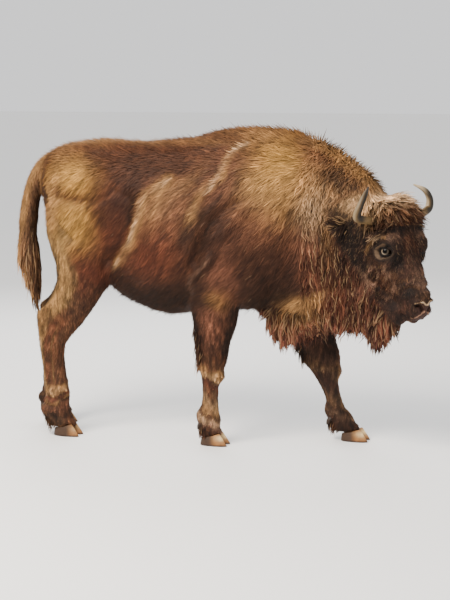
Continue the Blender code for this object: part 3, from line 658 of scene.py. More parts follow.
# soft spots on the head: middle in the head's frame on its left, reach along, across and out, colour, amount
headSpots = (
    ((-0.3, 0.0, 0.03), (0.09, 0.22, 0.12), "tan", 0.9),
    ((-0.33, 0.0, 0.03), (0.075, 0.24, 0.12), "pale", 0.8),
    # painted highlight on the top of the forelock
    ((-0.285, 0.04, 0.1), (0.05, 0.16, 0.06), "cream", 0.9),
    ((-0.295, 0.17, -0.02), (0.05, 0.05, 0.07), "pale", 0.6),
    ((-0.27, 0.212, -0.105), (0.045, 0.035, 0.05), "dark", 0.75),
    ((-0.22, 0.06, 0.11), (0.05, 0.14, 0.06), "brown", 0.95),
    ((-0.185, 0.05, 0.11), (0.035, 0.12, 0.06), "dark", 0.75),
    ((-0.2, 0.145, 0.06), (0.035, 0.04, 0.05), "dark", 0.7),
    ((-0.14, 0.0, 0.11), (0.04, 0.1, 0.06), "brown", 0.8),
    ((-0.085, 0.0, 0.1), (0.035, 0.2, 0.08), "black", 0.9),
    ((-0.15, 0.18, -0.02), (0.06, 0.05, 0.06), "black", 0.8),
    ((-0.185, 0.205, -0.09), (0.055, 0.06, 0.07), "black", 0.85),
    ((-0.12, 0.215, -0.16), (0.09, 0.06, 0.1), "black", 0.8),
    ((-0.02, 0.0, 0.08), (0.05, 0.05, 0.05), "brown", 0.5),
    # painted highlight on the brow, above the eye
    ((-0.086, 0.138, 0.01), (0.012, 0.02, 0.02), "cream", 0.8),
    ((-0.05, 0.1, 0.065), (0.022, 0.05, 0.03), "curl", 0.75),
    ((0.12, 0.045, 0.04), (0.07, 0.03, 0.04), "mane", 0.2),
    ((0.17, 0.0, 0.055), (0.08, 0.05, 0.04), "curl", 0.4),
    ((0.11, 0.11, -0.06), (0.06, 0.04, 0.05), "mane", 0.25),
    ((0.07, 0.09, 0.04), (0.05, 0.03, 0.04), "black", 0.7),
    ((0.03, 0.18, -0.18), (0.11, 0.06, 0.09), "black", 0.6),
    ((0.11, 0.11, -0.12), (0.06, 0.05, 0.05), "brown", 0.35),
    ((0.245, 0.07, -0.01), (0.022, 0.06, 0.06), "black", 0.8),
    ((0.29, 0.0, 0.04), (0.025, 0.05, 0.02), "ash", 0.6),
    ((0.3, 0.07, -0.06), (0.04, 0.04, 0.05), "redBrown", 0.2),
    ((0.235, 0.015, 0.05), (0.03, 0.02, 0.03), "curl", 0.6),
    ((-0.16, 0.16, -0.04), (0.06, 0.06, 0.07), "dark", 0.7),
)

crestLine = (  # x and z of the top of the neck
    (0.4, 1.76), (0.47, 1.75), (0.61, 1.7), (0.71, 1.64), (0.8, 1.585), (0.89, 1.52), (0.95, 1.42),
)
legBands = (  # leg, height, reach up and down, colour, amount
    ("fore", 0.56, 0.06, "dark", 0.45), ("fore", 0.45, 0.045, "ash", 0.6), ("fore", 0.418, 0.03, "tan", 0.5),
    ("fore", 0.405, 0.018, "pale", 0.35), ("fore", 0.35, 0.024, "rust", 0.6), ("fore", 0.275, 0.06, "ash", 0.6),
    ("fore", 0.245, 0.045, "pale", 0.3), ("fore", 0.215, 0.03, "tan", 0.4), ("fore", 0.182, 0.012, "dark", 0.5),
    ("fore", 0.372, 0.016, "dark", 0.35), ("fore", 0.14, 0.03, "curl", 0.9), ("fore", 0.15, 0.018, "pale", 0.35),
    ("fore", 0.078, 0.014, "dark", 0.7), ("hind", 0.7, 0.07, "brown", 0.35), ("hind", 0.45, 0.07, "brown", 0.25),
    ("hind", 0.29, 0.007, "dark", 0.4), ("hind", 0.268, 0.017, "tan", 0.65), ("hind", 0.266, 0.008, "cream", 0.15),
    ("hind", 0.246, 0.006, "black", 0.5), ("hind", 0.228, 0.012, "rust", 0.7), ("hind", 0.205, 0.008, "tan", 0.45),
    ("hind", 0.19, 0.006, "black", 0.4), ("hind", 0.155, 0.022, "redBrown", 0.6), ("hind", 0.105, 0.026, "dark", 0.65),
)
# soft strokes on the head, in its own frame: line, reach, colour, amount
headStrokes = (
    (((-0.01, 0.13, -0.02), (0.015, 0.12, 0.0)), 0.05, "black", 0.6),
    (((0.05, 0.105, 0.04), (0.1, 0.085, 0.03)), 0.022, "black", 0.6),
    (((-0.055, 0.15, -0.08), (-0.08, 0.145, -0.04), (-0.088, 0.138, 0.01), (-0.07, 0.12, 0.045)), 0.01, "tan", 0.6),
    (((-0.04, 0.152, -0.1), (0.02, 0.146, -0.085), (0.055, 0.122, -0.04)), 0.01, "ash", 0.6),
    (((0.206, 0.086, -0.041), (0.212, 0.066, 0.019), (0.234, 0.034, 0.044), (0.25, 0.0, 0.05)), 0.0045, "ash", 0.8),
    (((0.125, 0.08, 0.02), (0.15, 0.06, 0.042), (0.165, 0.03, 0.055)), 0.006, "ash", 0.8),
    (((0.16, 0.086, -0.02), (0.18, 0.066, 0.03), (0.19, 0.036, 0.052)), 0.007, "ash", 0.8),
    (((0.09, 0.1, -0.03), (0.14, 0.09, -0.02)), 0.014, "ash", 0.6),
    (((0.1, 0.11, -0.1), (0.15, 0.095, -0.06), (0.2, 0.09, -0.05)), 0.01, "ash", 0.7),
)


def paint(points, shares, normals):
    head = toHead(points)
    folded = onLeft(head)
    side = points.copy()
    side[:, 1] = np.where(side[:, 1] > middleLine, 2 * middleLine - side[:, 1], side[:, 1])
    base = {
        "trunk": "brown", "neck": "mane", "chest": "mane", "beard": "mane", "head": "face",
        "fore": "brown", "hind": "ash", "dock": "ash", "tuft": "ash", "ear": "dark",
    }
    colour = shares @ np.array([fur[base[name]] for name in regions])

    def lay(name, amount):
        nonlocal colour
        colour = colour + np.clip(amount, 0, 1)[:, None] * (fur[name] - colour)

    body = np.clip(
        1 - share(shares, "head") - share(shares, "ear") - share(shares, "dock") - share(shares, "tuft"), 0, 1,
    )
    legs = share(shares, "fore") + share(shares, "hind")
    upper = body * fade(side[:, 2], 0.62, 0.8)
    wobble = 0.035 * (softNoise(points, 0.11, 4.0) - 0.5)
    for x, z, reachX, reachZ, lean, name, amount in bodySpots:
        turn = math.radians(lean)
        dx, dz = side[:, 0] - x + wobble, side[:, 2] - z + wobble
        u = (dx * math.cos(turn) - dz * math.sin(turn)) / reachX
        w = (dx * math.sin(turn) + dz * math.cos(turn)) / reachZ
        lay(name, amount * upper * np.exp(-(u * u + w * w) ** 1.3 * 0.7))
    streaky = 0.55 + 0.9 * softNoise(points * (1.0, 1.0, 0.35), 0.016, 11.0)
    rightSide = fade(middleLine - points[:, 1], -0.05, 0.1)
    for line, reach, name, amount in paintedLightStrokes:
        near = lineDistance(side + wobble[:, None], smoothLine(line, 3))
        # cream and pale strokes are painted highlights, kept weaker on the left side, away from the light
        if name in ("cream", "pale"):
            amount = amount * (0.25 + 0.75 * rightSide)
        lay(name, amount * streaky * upper * np.exp(-(near / reach) ** 2))
    # legs: patches down them, tendons striped on the hind ones, and painted shade on their inner sides, facing the
    # other legs
    z = points[:, 2]
    hind, fore = share(shares, "hind"), share(shares, "fore")
    ahead = normals[:, 0]
    wave = z + 0.05 * (softNoise(points, 0.035, 9.0) - 0.5) + 0.035 * (softNoise(points, 0.013, 5.0) - 0.5)
    wave = wave + 0.035 * ahead * (fore - hind)
    near = fade(middleLine - points[:, 1], -0.02, 0.02)  # the right side's legs are the lighter ones
    patchy = 0.3 + 1.4 * softNoise(points * (1, 1, 0.5), 0.014, 17.0)
    shankZone = hind * fade(z, 0.26, 0.33)
    lay("olive", shankZone * 0.75 * fade(0.2 - ahead, 0, 0.6))
    lay("brown", hind * 0.75 * fade(ahead, 0.1, 0.5))
    lay("rust", shankZone * 0.7 * np.exp(-((ahead + 0.05) / 0.2) ** 2) * fade(0.8 - z, 0, 0.15))
    lay("tan", shankZone * 0.6 * np.exp(-((ahead + 0.5) / 0.22) ** 2))
    lay("redBrown", fore * 0.9 * fade(z, 0.5, 0.62) * np.exp(-((ahead + 0.05) / 0.5) ** 2))
    lay("curl", fore * (1 - near) * 0.4 * fade(z, 0.15, 0.25) * fade(0.55 - z, 0, 0.1))
    lay("cream", shankZone * 0.35 * np.exp(-((ahead + 0.62) / 0.12) ** 2) * fade(0.62 - z, 0, 0.1))
    lay("dark", shankZone * 0.5 * np.exp(-((ahead + 0.22) / 0.09) ** 2) * fade(0.62 - z, 0, 0.1))
    lay("dark", fore * 0.6 * fade(ahead, 0.25, 0.75) * fade(0.38 - z, 0, 0.05))
    lay("dark", fore * 0.85 * fade(z, 0.46, 0.56) * (fade(ahead, 0.3, 0.75) + fade(-ahead, 0.15, 0.65)))
    # painted shade along the rear edge of the hindquarters, where the surface turns away
    lay("dark", body * 0.75 * fade(-ahead, 0.5, 0.85) * fade(-0.7 - points[:, 0], 0, 0.1)
        * fade(z, 0.6, 0.72) * fade(1.2 - z, 0, 0.2))
    for leg, middle, reach, name, amount in legBands:
        band = np.exp(-np.abs((wave - middle) / reach) ** 3)
        lay(name, share(shares, leg) * amount * patchy * band * (0.5 + 0.5 * near))
    # painted shade on the sides of the legs that face the other legs
    inner = fade(-normals[:, 1] * np.sign(points[:, 1] - middleLine), 0.1, 0.7)
    lay("dark", legs * 0.7 * inner)
    # painted shade under the belly and chest, on surfaces facing down
    lay("dark", body * 0.75 * fade(-normals[:, 2], 0.25, 0.85) * fade(z, 0.6, 0.7))
    # neck, chest and beard: tan above, red below, dark behind the jaw
    neck = share(shares, "neck")
    mane = neck + share(shares, "chest") + share(shares, "beard")
    lay("tan", neck * 0.46 * fade(z, 1.2, 1.5) * fade(1.72 - z, 0, 0.2))
    belowCrest = np.interp(points[:, 0], *np.transpose(crestLine)) - z
    patch = np.exp(-((belowCrest - 0.125) / 0.055) ** 2 - ((points[:, 0] - 0.75) / 0.13) ** 2)
    lay("dark", neck * 0.7 * patch * (0.4 + 1.2 * softNoise(points, 0.03, 31.0)))
    lay("tan", neck * 0.8 * fade(0.075 - belowCrest, 0, 0.04))
    behindJaw = np.exp(-((side[:, 0] - 0.79) / 0.1) ** 2 - ((z - 1.08) / 0.2) ** 2)
    lay("black", mane * 0.8 * behindJaw)
    lay("dark", share(shares, "beard") * 0.75)
    lay("black", share(shares, "beard") * 0.7 * fade(folded[:, 0], 0.25, 0.33))
    lay("rust", mane * 0.35 * fade(1.15 - z, 0, 0.3) * fade(softNoise(points, 0.07, 2.0), 0.35, 0.65))
    lay("dark", mane * 0.45 * fade(softNoise(points, 0.09, 12.0), 0.45, 0.75))
    for middle, reach, name, amount in headSpots:
        off = (folded - np.array(middle)) / np.array(reach)
        lay(name, amount * share(shares, "head") * np.exp(-0.9 * (off ** 2).sum(1)))
    shaken = folded + 0.012 * (softNoise(points, 0.03, 3.0) - 0.5)[:, None]
    for line, reach, name, amount in headStrokes:
        near = lineDistance(shaken, smoothLine(line, 3))
        lay(name, amount * share(shares, "head") * np.exp(-(near / reach) ** 2))
    curls = fade(softNoise(points, 0.022, 8.0), 0.52, 0.75)
    curls = curls * fade(folded[:, 2], 0.0, -0.06) * fade(folded[:, 0], -0.02, 0.06)
    lay("curl", curls * share(shares, "head") * 0.85 * fade(0.24 - folded[:, 0], 0, 0.05))
    dock = share(shares, "dock") + share(shares, "tuft")
    lay("tan", share(shares, "dock") * 0.65 * fade(0.3 - normals[:, 0], 0, 0.5))
    lay("tan", share(shares, "tuft") * 0.6 * fade(-normals[:, 0], 0.1, 0.7))
    lay("dark", dock * 0.6 * fade(normals[:, 0], 0.2, 0.8))
    mottle = softNoise(points, 0.035, 1.0) * 0.6 + softNoise(points, 0.014, 6.0) * 0.4
    # streaks of lighter and darker hair, drawn out the way that the coat lies
    x, y, z = points.T
    slanting = softNoise(np.stack([(0.62 * x + 0.78 * z) * 0.22, y * 0.5, 0.78 * x - 0.62 * z], 1), 0.011, 21.0)
    hanging = softNoise(points * (1.0, 1.0, 0.28), 0.009, 23.0)
    onTrunk = share(shares, "trunk")
    streak = (slanting * onTrunk + hanging * (1 - onTrunk)) - 0.5
    depth = 0.7 + 0.5 * legs + 0.3 * share(shares, "head")
    return colour * ((0.68 + 0.64 * mottle) * np.exp(streak * depth * 1.6))[:, None]


def alongSkin(ways, normals):  # the part of each way that lies along the skin
    return ways - normals * (ways * normals).sum(1, keepdims=True)


# lie of the coat: the way the hair points at each spot, along the skin
def lieAt(points, normals, shares):
    head = toHead(points)
    outward = np.sign(points[:, 1] - middleLine)[:, None]
    high = fade(points[:, 2], 1.45, 1.68)[:, None]
    low = fade(0.95 - points[:, 2], 0, 0.15)[:, None]
    flank = np.array((-0.62, 0.0, -0.78)) * (1 - high) + np.array((-1.0, 0.0, -0.25)) * high
    flank = flank * (1 - low) + np.array((-0.8, 0.0, -0.5)) * low
    down = np.array((-0.1, 0.0, -1.0)) + np.zeros_like(points)
    crest = fade(points[:, 2], 1.35, 1.6)[:, None]
    neck = np.array((0.1, 0.0, -1.0)) * (1 - crest) + np.array((-0.35, 0.0, -0.8)) * crest
    neck = neck + outward * crest * (0, 0.5, 0)
    side = np.sign(head[:, 1])[:, None]
    wide = fade(np.abs(head[:, 1]), 0.04, 0.12)[:, None]
    face = np.array((1.0, 0.0, -0.15)) * (1 - wide) + np.array((0.55, 0.0, -0.8)) * wide + side * wide * (0, 0.2, 0)
    top = mopShare(head)[:, None]
    face = face * (1 - top) + (np.array((1.0, 0.0, 0.1)) + side * wide * (0, 0.45, 0)) * top
    face = face @ headTurn.T
    ear = (side * (0, 0.8, 0) + np.array((0.35, 0.0, -0.5))) @ headTurn.T
    table = {
        "trunk": flank, "neck": neck, "chest": down, "beard": down, "head": face, "fore": down, "hind": down,
        "dock": np.array((-0.1, 0.0, -1.0)) + np.zeros_like(points), "tuft": down, "ear": ear,
    }
    lie = sum(share(shares, name)[:, None] * unit(table[name]) for name in regions)
    swirl = np.stack([softNoise(points, 0.16, s) - 0.5 for s in (1.0, 7.0, 15.0)], 1)
    lie = lie + swirl * (0.5 - 0.2 * share(shares, "head"))[:, None]
    return unit(alongSkin(lie, normals))


# the skin's unwrap, which the coat shares
pick(skin)
skin.data.uv_layers.new(name="OFBake")
bpy.ops.object.mode_set(mode="EDIT")
bpy.ops.mesh.select_mode(type="FACE")
bpy.ops.mesh.select_all(action="SELECT")
bpy.ops.uv.smart_project(angle_limit=math.radians(66), island_margin=0.002)
bpy.ops.object.mode_set(mode="OBJECT")
print("skin unwrapped")

mesh = skin.data
mesh.calc_loop_triangles()
triangles = tableOf(mesh.loop_triangles, "vertices", 3, int)
corners = tableOf(mesh.loop_triangles, "loops", 3, int)
unwrap = tableOf(mesh.uv_layers["OFBake"].data, "uv", 2)
skinNormals = unit(pointsOf(mesh, "normal"))
a, b, c = (points[triangles[:, i]] for i in range(3))
areas = np.linalg.norm(np.cross(b - a, c - a), axis=1) / 2
print("skin area %.2f m2," % areas.sum(), len(triangles), "triangles")


def eyeClear(points):  # 0 over the eyes and lids, 1 elsewhere
    clear = np.ones(len(points))
    for side in (1, -1):
        beyond, height, angle = eyeReach(side, points)
        clear = np.where((beyond < eyeSettings["socketReach"]) & (height > -0.03), 0, clear)
    return clear


def nosePad(head):  # bare wet skin between and under the nostrils
    y = np.abs(head[:, 1])
    return fade(head[:, 0], 0.318, 0.336) * fade(0.052 - y, 0, 0.01) * fade(0.045 - head[:, 2], 0, 0.01)


def roots(count, density, seed):  # spots on the skin: place, normal, shares, unwrap
    toss = np.random.default_rng(seed)
    weight = areas * density
    weight = np.cumsum(weight / weight.sum())
    pickAt = (np.arange(count) + toss.random(count)) / count
    face = np.minimum(np.searchsorted(weight, pickAt), len(weight) - 1)
    u, v = toss.random((2, count))
    over = u + v > 1
    u, v = np.where(over, 1 - u, u), np.where(over, 1 - v, v)
    w = np.stack([1 - u - v, u, v], 1)[:, :, None]
    return {
        "place": (points[triangles[face]] * w).sum(1),
        "normal": unit((skinNormals[triangles[face]] * w).sum(1)),
        "shares": (shares[triangles[face]] * w).sum(1),
        "unwrap": (unwrap[corners[face]] * w).sum(1),
        "toss": toss,
    }


# a tuft is modelled once: a three-sided spike along Z from 0 to 1, cut across for the long locks
def tuftShape(name, cuts):
    deselectAll()
    bpy.ops.mesh.primitive_cone_add(vertices=3, radius1=1.0, radius2=0.0, depth=1.0, location=(0, 0, 0.5))
    tuft = bpy.context.object
    tuft.name = name
    bpy.ops.object.transform_apply(location=True, rotation=False, scale=False)
    bpy.ops.object.mode_set(mode="EDIT")
    for height in cuts:
        bpy.ops.mesh.select_all(action="SELECT")
        bpy.ops.mesh.bisect(plane_co=(0, 0, height), plane_no=(0, 0, 1))
    bpy.ops.object.mode_set(mode="OBJECT")
    along = pointsOf(tuft.data)
    faces = [list(face.vertices) for face in tuft.data.polygons]
    ring = along[:, :2] / np.maximum(1 - along[:, 2:3], 1e-6) * (along[:, 2:3] < 0.999)
    bpy.data.objects.remove(tuft)
    return {"ring": ring, "along": along[:, 2], "faces": faces}


spike = tuftShape("spikeTuft", ())
lock = tuftShape("lockTuft", (0.16, 0.34, 0.52, 0.7, 0.86))

coatSettings = {
    "patchAcross": 0.0012, "patchAlong": 0.0024,  # of a tuft on the unwrap
    "floorGap": 0.0006,  # no hair below this height
    "widthSpread": 0.25, "riseSpread": 0.3, "fringeSpread": 0.01,  # how much single tufts vary
}
fullTurn = 6.28  # radians, for the waves of the locks


def growCoat(name, shape, spots, style):
    toss, count = spots["toss"], len(spots["place"])
    place, normal = spots["place"], spots["normal"]
    lie = style["lie"]
    length = style["length"] * np.exp(toss.normal(0, style.get("lengthSpread", 0.22), count))
    width = style["width"] * np.exp(toss.normal(0, coatSettings["widthSpread"], count))
    rise = np.radians(style["rise"]) * np.exp(toss.normal(0, coatSettings["riseSpread"], count))
    sway = toss.normal(0, style.get("sway", 0.16), count)[:, None]
    across = np.cross(normal, lie)
    lie = unit(lie + across * sway)
    start = lie * np.cos(rise)[:, None] + normal * np.sin(rise)[:, None]
    hang = style.get("hang", 0.0)
    finish = unit(start * (1 - hang) + np.array((0.0, 0.0, -1.0)) * hang + lie * 0.2)
    sunk = place - normal * style.get("sink", 0.0015)
    bend1 = sunk + start * (length * 0.5)[:, None]
    bend2 = bend1 + finish * (length * 0.5)[:, None]
    t = shape["along"][None, :, None]
    if style.get("lowest") is not None:  # the fringe's own lower edge
        edge = np.interp(bend2[:, 0], *style["lowest"]) + 0.1 * np.abs(bend2[:, 1])
        edge = edge + toss.normal(0, coatSettings["fringeSpread"], count)
        keep = np.clip((sunk[:, 2] - edge) / np.maximum(sunk[:, 2] - bend2[:, 2], 1e-3), 0.25, 1)
        keep = np.where(bend2[:, 2] < edge, keep, 1.0)[:, None]
        bend1, bend2 = sunk + (bend1 - sunk) * keep, sunk + (bend2 - sunk) * keep
    path = (1 - t) ** 2 * sunk[:, None] + 2 * t * (1 - t) * bend1[:, None] + t * t * bend2[:, None]
    tone = np.zeros(count)
    if style.get("clump"):
        heads = toss.choice(count, max(int(count / style["clumpOf"]), 1), replace=False)
        nearest = nearestOf(place, place[heads])
        leader = heads[nearest]
        stretch = (length / length[leader])[:, None, None]
        aim = place[leader][:, None] + (path[leader] - place[leader][:, None]) * stretch
        path = path + (t ** 1.4) * style["clump"] * (aim - path)
        tone = toss.normal(0, style.get("clumpTone", 0.28), len(heads))[nearest]
    if style.get("wave"):
        phase = toss.random(count)[:, None, None] * fullTurn
        turns = style["turns"] * (0.8 + 0.4 * toss.random(count))[:, None, None] * fullTurn
        amp = style["wave"] * (0.6 + 0.8 * toss.random(count))[:, None, None] * (t ** 0.7)
        path = path + across[:, None] * amp * np.sin(turns * t + phase)
        path = path + normal[:, None] * amp * 0.6 * np.cos(turns * t + phase)
    along = unit(start[:, None] * (1 - t) + finish[:, None] * t)
    flat = unit(np.cross(normal[:, None] + 0.001, along))
    proud = np.cross(along, flat)
    swell = style.get("swell", 0.0)  # 0 is widest at the root
    taper = (1 - t) ** 0.7 * (1 + swell * 2.2 * t)
    ring = shape["ring"]
    half = (width / 2)[:, None, None] * taper
    verts = path + flat * half * ring[None, :, 0:1] + proud * half * style["thickness"] * ring[None, :, 1:2]
    verts[:, :, 2] = np.maximum(verts[:, :, 2], coatSettings["floorGap"])
    tint = style["tints"] if "tints" in style else paint(place, spots["shares"], normal)
    tint = tint * np.exp(toss.normal(0, 1, count) * style.get("tintSpread", 0.2) + tone)[:, None]
    fair = (toss.random(count) < style.get("fairShare", 0.008))[:, None] * style.get("fairAmount", 0.35)
    tint = tint + fair * (fur["pale"] * 0.8 - tint)
    # painted shade and light: each tuft's tint darkens towards the root, in the coat's shade, and brightens towards the
    # tip, in the light
    dim, glow = style.get("shade", (0.62, 1.18))
    tint = tint[:, None] * (dim + (glow - dim) * t)
    if style.get("tip"):
        tipColour, amount = style["tip"]
        amount = amount * toss.random(count)[:, None, None] * fade(t, 0.45, 0.95)
        tint = tint + amount * (fur[tipColour] - tint)
    patch = np.stack([
        ring[:, 0] * coatSettings["patchAcross"], (shape["along"] - 0.5) * coatSettings["patchAlong"],
    ], 1)
    uvs = spots["unwrap"][:, None] + patch[None]
    m = len(shape["along"])
    around = flat * ring[None, :, 0:1] + proud * ring[None, :, 1:2]
    soft = unit(normal[:, None] * style.get("soft", 0.8) + around * 0.55)
    return buildCoat(name, verts.reshape(-1, 3), shape["faces"], count, m, tint, uvs, soft)


def nearestOf(places, heads):
    found = np.empty(len(places), int)
    batch = 2000
    for start in range(0, len(places), batch):
        part = places[start:start + batch]
        gap = (part ** 2).sum(1)[:, None] - 2 * part @ heads.T + (heads ** 2).sum(1)[None]
        found[start:start + batch] = gap.argmin(1)
    return found


def buildCoat(name, verts, faces, count, size, tint, uvs, soft):
    mesh = bpy.data.meshes.new(name)
    sizes = np.array([len(face) for face in faces])
    one = np.concatenate(faces)
    loops = (one[None] + np.arange(count)[:, None] * size).ravel()
    totals = np.tile(sizes, count)
    mesh.vertices.add(len(verts))
    mesh.vertices.foreach_set("co", verts.astype(np.float32).ravel())
    mesh.loops.add(len(loops))
    mesh.loops.foreach_set("vertex_index", loops.astype(np.int32))
    mesh.polygons.add(len(totals))
    mesh.polygons.foreach_set("loop_start", np.concatenate([[0], np.cumsum(totals)[:-1]]).astype(np.int32))
    smoothFaces(mesh)
    uvLayer = mesh.uv_layers.new(name="OFBake")
    uvLayer.data.foreach_set("uv", uvs.reshape(-1, 2)[loops].astype(np.float32).ravel())
    setColours(mesh, "tint", tint.reshape(-1, 3))
    mesh.update(calc_edges=True)
    mesh.normals_split_custom_set_from_vertices(soft.reshape(-1, 3).astype(np.float32))
    coat = bpy.data.objects.new(name, mesh)
    bpy.context.scene.collection.objects.link(coat)
    mesh.materials.append(hairMaterial)
    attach(coat, "root")
    triangleCount = count * int((sizes - 2).sum())
    print(name, count, "tufts,", triangleCount, "triangles")
    return coat


# materials
def newMaterial(name, finish):  # the finish holds what is the same all over the surface
    made = bpy.data.materials.new(name)
    made.use_nodes = True
    tree = made.node_tree
    shader = tree.nodes["Principled BSDF"]
    for socket, value in finish.items():
        shader.inputs[socket].default_value = value
    return made, tree, shader


def unevenColour(tree, colour, noise, low, high):  # a colour made darker and lighter by a noise
    shade = addNode(tree, "ShaderNodeMapRange", {"To Min": low, "To Max": high}, {"Value": noise.outputs["Fac"]})
    return addNode(tree, "ShaderNodeVectorMath", {"operation": "SCALE"},
                   {"Vector": colour, "Scale": shade.outputs["Result"]}).outputs["Vector"]


# hair: keratin fibres in tufts, dry, with a soft sheen along their edges; the tint lies on the mesh
hairMaterial, tree, shader = newMaterial("bisonHair", {"Roughness": 0.62, "Specular IOR Level": 0.13, "IOR": 1.55})
tint = addNode(tree, "ShaderNodeAttribute", {"attribute_name": "tint"})
place = addNode(tree, "ShaderNodeTexCoord", {})
strand = addNode(tree, "ShaderNodeTexNoise", {"Scale": 420.0, "Detail": 3.0}, {"Vector": place.outputs["Object"]})
tree.links.new(unevenColour(tree, tint.outputs["Color"], strand, 0.75, 1.28), shader.inputs["Base Color"])

# hide: the skin under the hair, darker than the hair's tips as painted shade under the coat, with fine fur as bump
hideMaterial, tree, shader = newMaterial("bisonHide", {"Roughness": 0.75, "Specular IOR Level": 0.2, "IOR": 1.45})
tint = addNode(tree, "ShaderNodeAttribute", {"attribute_name": "tint"})
place = addNode(tree, "ShaderNodeTexCoord", {})
grain = addNode(tree, "ShaderNodeTexNoise", {"Scale": 260.0, "Detail": 4.0}, {"Vector": place.outputs["Object"]})
bump = addNode(tree, "ShaderNodeBump", {"Strength": 0.6, "Distance": 0.002}, {"Height": grain.outputs["Fac"]})
tree.links.new(tint.outputs["Color"], shader.inputs["Base Color"])
tree.links.new(bump.outputs["Normal"], shader.inputs["Normal"])

# the skin takes its colours
lidTints = {
    "margin": linear("#0d0806"), "fold": linear("#4a3829"), "band": linear("#524131"), "skin": linear("#1f130c"),
}
head = toHead(points)
# painted shade: the skin takes the coat's colours, darkened as it lies in the coat's shade
skinTint = paint(points, shares, skinNormals) * skinSettings["shade"]
pad = (nosePad(head) * share(shares, "head"))[:, None]
skinTint = skinTint + pad * (linear("#33201a") - skinTint)
folded = onLeft(head)
noseStrokes = (  # line, reach, colour
    # painted shade in the nostril's slit
    (((0.356, 0.022, 0.002), (0.344, 0.029, 0.011), (0.333, 0.041, 0.013), (0.328, 0.054, 0.005)), 0.01, "#0d0705"),
    (((0.312, 0.06, 0.008), (0.315, 0.05, 0.022), (0.317, 0.036, 0.032)), 0.0026, "#b08f6b"),
    (((0.317, 0.036, 0.032), (0.322, 0.022, 0.035), (0.332, 0.01, 0.031), (0.335, 0.0, 0.029)), 0.0042, "#c3a27c"),
    (((0.36, 0.008, 0.0), (0.369, 0.029, -0.014), (0.374, 0.037, -0.04), (0.362, 0.046, -0.068)), 0.0042, "#84614c"),
    (((0.378, 0.0, -0.1), (0.368, 0.026, -0.106), (0.346, 0.046, -0.114), (0.312, 0.056, -0.122)), 0.003, "#a98766"),
    # painted shade in the slit of the mouth
    (((0.38, 0.0, -0.086), (0.374, 0.03, -0.088), (0.352, 0.052, -0.098), (0.318, 0.062, -0.108)), 0.005, "#120a07"),
)
bare = nosePad(head)
for line, reach, colour in noseStrokes:
    near = np.exp(-(lineDistance(folded, smoothLine(line, 4)) / reach) ** 2) * share(shares, "head")
    skinTint = skinTint + np.clip(near * 1.25, 0, 1)[:, None] * (linear(colour) - skinTint)
    bare = np.maximum(bare, fade(near, 0.05, 0.3))
setColours(skin.data, "tint", skinTint)
skin.data.materials.append(hideMaterial)
smoothFaces(skin.data)
lidColours = []
for piece, side in zip(lids, (1, -1)):
    place = pointsOf(piece.data)
    beyond, height, angle = eyeReach(side, place)
    above, behind = fade(np.sin(angle), -0.15, 0.25), fade(-np.cos(angle), -0.9, 0.9)
    tints = np.tile(lidTints["margin"], (len(place), 1))
    for name, inner, outer, amount in (
        ("band", 0.01 + 0.0045 * fade(-np.sin(angle), 0.4, 0.9), 0.0215, (1 - above) * (0.25 + 0.75 * behind)),
        ("fold", 0.011, 0.019, above * fade(behind, 0.15, 0.7)),
        ("skin", 0.0235, 0.06, above * 0 + 1),
    ):
        amount = amount * fade(beyond, inner - 0.0012, inner + 0.0012) * fade(outer - beyond, -0.0012, 0.0012)
        tints = tints + amount[:, None] * (lidTints[name] - tints)
    tints *= (0.75 + 0.5 * softNoise(place, 0.006, 5.0))[:, None]
    setColours(piece.data, "tint", tints)
    piece.data.materials.append(hideMaterial)
    smoothFaces(piece.data)
    lidColours.append(tints)
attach(skin, "root")
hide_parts(*regionOf)
for piece in lids:
    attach(piece, "root")

# short coat
shortCoat = {  # length and width of a tuft and its rise from the skin in degrees
    "length": {"trunk": 0.038, "neck": 0.05, "chest": 0.05, "beard": 0.05, "head": 0.02,
               "fore": 0.02, "hind": 0.02, "dock": 0.026, "tuft": 0.04, "ear": 0.018},
    "width": {"trunk": 0.0075, "neck": 0.008, "chest": 0.008, "beard": 0.008, "head": 0.0042,
              "fore": 0.0048, "hind": 0.0048, "dock": 0.006, "tuft": 0.006, "ear": 0.004},
    "rise": {"trunk": 15, "neck": 26, "chest": 30, "beard": 30, "head": 15,
             "fore": 18, "hind": 18, "dock": 18, "tuft": 16, "ear": 25},
    "density": {"trunk": 1.0, "neck": 0.7, "chest": 0.6, "beard": 0.6, "head": 3.6,
                "fore": 2.0, "hind": 2.0, "dock": 1.6, "tuft": 0.9, "ear": 3.0},
    "count": 166000, "pieces": 5,
}
few = 1.0
s = shortCoat
density = mixed(shares, s["density"]) * eyeClear(points) * (1 - bare * share(shares, "head"))
density = density * fade(points[:, 2], 0.045, 0.06)
density = density[triangles].min(1)
centres = points[triangles].mean(1)[:, 0]
order = np.argsort(centres)
load = np.cumsum((areas * density)[order])
cuts = np.interp(np.linspace(0, load[-1], s["pieces"] + 1), load, centres[order])
cuts[0], cuts[-1] = -9, 9
